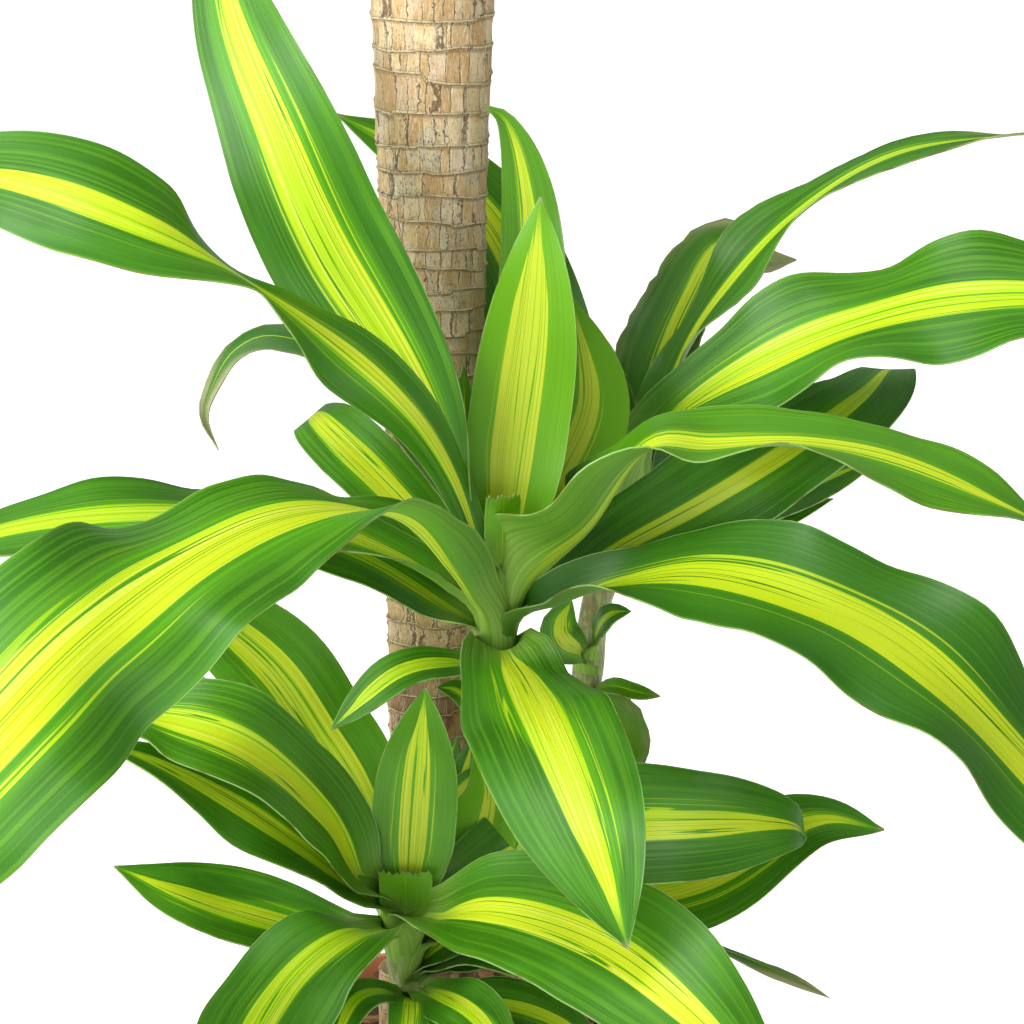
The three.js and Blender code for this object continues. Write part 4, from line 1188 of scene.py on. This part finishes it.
def make_stage():
    """The floor, the lights and the camera"""
    settings = bpy.context.scene.corn_plant_stage
    floor = primitive(bpy.ops.mesh.primitive_plane_add, "studio_floor", size=settings.width)
    paint(floor, "studio_floor", floor_look)

    world = bpy.context.scene.world or bpy.data.worlds.new("studio")
    bpy.context.scene.world = world
    world.use_nodes = True
    sky = next(node for node in world.node_tree.nodes if node.type == "BACKGROUND")
    sky.inputs["Color"].default_value = (1, 1, 1, 1)
    sky.inputs["Strength"].default_value = settings.fill

    bpy.ops.object.light_add(type="SUN", rotation=[math.radians(angle) for angle in KEY_TURN])
    key = bpy.context.object.data
    key.energy = settings.key
    key.angle = math.radians(KEY_SPREAD)
    aim = [math.radians(angle) for angle in PANEL_TURN]
    bpy.ops.object.light_add(type="AREA", location=PANEL_PLACE, rotation=aim)
    panel = bpy.context.object.data
    panel.shape = "RECTANGLE"
    panel.size, panel.size_y = PANEL_SIZE
    panel.energy = settings.panel

    bpy.ops.object.camera_add(location=CAMERA_PLACE, rotation=(math.radians(CAMERA_TILT), 0, 0))
    camera = bpy.context.object
    camera.data.lens = CAMERA_LENS
    camera.data.sensor_width = 36
    camera.data.clip_end = 200
    bpy.context.scene.camera = camera
    bpy.context.scene.view_settings.view_transform = "Standard"


# Settings, operators and panel

POT_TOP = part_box("pot")[1]


def length_setting(name, description, metres):
    return FloatProperty(name=name, description=description, default=metres, unit="LENGTH")


def colour_setting(name, description, colour):
    return FloatVectorProperty(name=name, description=description, default=colour, size=4, subtype="COLOR")


class CornPlantPot(bpy.types.PropertyGroup):
    rim: length_setting("Rim radius", "Outer radius of the rim", POT_TOP.x)
    foot: length_setting("Foot radius", "Outer radius just above the foot", 0.09)
    height: length_setting("Height", "Height of the pot", POT_TOP.z)
    sides: IntProperty(name="Sides", description="Sides of the round wall", default=128, min=24)
    holes: IntProperty(name="Drain holes", description="Holes in the bottom", default=6, min=3)
    plastic: colour_setting("Plastic", "Colour of the plastic", shade(168, 96, 64))


class CornPlantSoil(bpy.types.PropertyGroup):
    chips: IntProperty(name="Chips", description="Bark chips that lie on the soil", default=520, min=1)
    seed: IntProperty(name="Seed", description="Seed of the places of the chips", default=4)


class CornPlantCanes(bpy.types.PropertyGroup):
    bark: colour_setting("Bark", "Colour of the bark plates", shade(206, 168, 112))


class CornPlantLeaves(bpy.types.PropertyGroup):
    thick: length_setting("Thickness", "Thickness of a blade", 0.0008)
    green: colour_setting("Green", "Colour of the sides of a blade", shade(66, 128, 28))
    stripe: colour_setting("Stripe", "Colour of the band down the middle", shade(202, 218, 30))


class CornPlantStage(bpy.types.PropertyGroup):
    width: length_setting("Floor width", "Width of the floor", 60)
    floor: colour_setting("Floor", "Colour of the floor", (0.92, 0.92, 0.92, 1))
    key: FloatProperty(name="Key light", description="Strength of the soft light from above", default=1.5)
    panel: FloatProperty(
        name="Panel light", description="Power of the soft panel on the left", default=190, unit="POWER",
    )
    fill: FloatProperty(name="Fill light", description="Strength of the light from all round", default=0.5)


class CORNPLANT_OT_pot(bpy.types.Operator):
    """Make the plastic pot with its rim band and drain holes"""
    bl_idname = "corn_plant.pot"
    bl_label = "Pot"

    def execute(self, context):
        make_pot()
        return {"FINISHED"}


class CORNPLANT_OT_soil(bpy.types.Operator):
    """Make the bark mix in the pot, with loose chips on it"""
    bl_idname = "corn_plant.soil"
    bl_label = "Soil"

    def execute(self, context):
        make_soil()
        make_chips()
        return {"FINISHED"}


class CORNPLANT_OT_canes(bpy.types.Operator):
    """Make the three woody canes"""
    bl_idname = "corn_plant.canes"
    bl_label = "Canes"

    def execute(self, context):
        for name, cane in CANES.items():
            make_cane(name, cane)
        return {"FINISHED"}


class CORNPLANT_OT_shoots(bpy.types.Operator):
    """Make the six leafy shoots"""
    bl_idname = "corn_plant.shoots"
    bl_label = "Leafy Shoots"

    def execute(self, context):
        for number, (name, (stem, leaves)) in enumerate(SHOOTS.items()):
            make_shoot(name, stem, leaves, 40 * number)
        return {"FINISHED"}


class CORNPLANT_OT_stage(bpy.types.Operator):
    """Make the floor, the lights and the camera"""
    bl_idname = "corn_plant.stage"
    bl_label = "Stage"

    def execute(self, context):
        make_stage()
        return {"FINISHED"}


# Each part's settings, where the scene keeps them, and its operator, in the order of making
PARTS = [
    (CornPlantStage, "corn_plant_stage", CORNPLANT_OT_stage),
    (CornPlantPot, "corn_plant_pot", CORNPLANT_OT_pot),
    (CornPlantSoil, "corn_plant_soil", CORNPLANT_OT_soil),
    (CornPlantCanes, "corn_plant_canes", CORNPLANT_OT_canes),
    (CornPlantLeaves, "corn_plant_leaves", CORNPLANT_OT_shoots),
]


class CORNPLANT_PT_sidebar(bpy.types.Panel):
    """The plant's settings, part by part"""
    bl_label = "Corn Plant"
    bl_space_type = "VIEW_3D"
    bl_region_type = "UI"
    bl_category = "Corn Plant"

    def draw(self, context):
        for group, place, operator in PARTS:
            column = self.layout.box().column()
            for word in group.__annotations__:
                column.prop(getattr(context.scene, place), word)
            column.operator(operator.bl_idname)


def register():
    for group, place, operator in PARTS:
        bpy.utils.register_class(group)
        setattr(bpy.types.Scene, place, PointerProperty(type=group))
        bpy.utils.register_class(operator)
    bpy.utils.register_class(CORNPLANT_PT_sidebar)


def unregister():
    bpy.utils.unregister_class(CORNPLANT_PT_sidebar)
    for group, place, operator in reversed(PARTS):
        bpy.utils.unregister_class(operator)
        delattr(bpy.types.Scene, place)
        bpy.utils.unregister_class(group)


def main():
    register()
    bpy.ops.corn_plant.stage()
    bpy.ops.corn_plant.pot()
    bpy.ops.corn_plant.soil()
    bpy.ops.corn_plant.canes()
    bpy.ops.corn_plant.shoots()


if __name__ == "__main__":
    main()
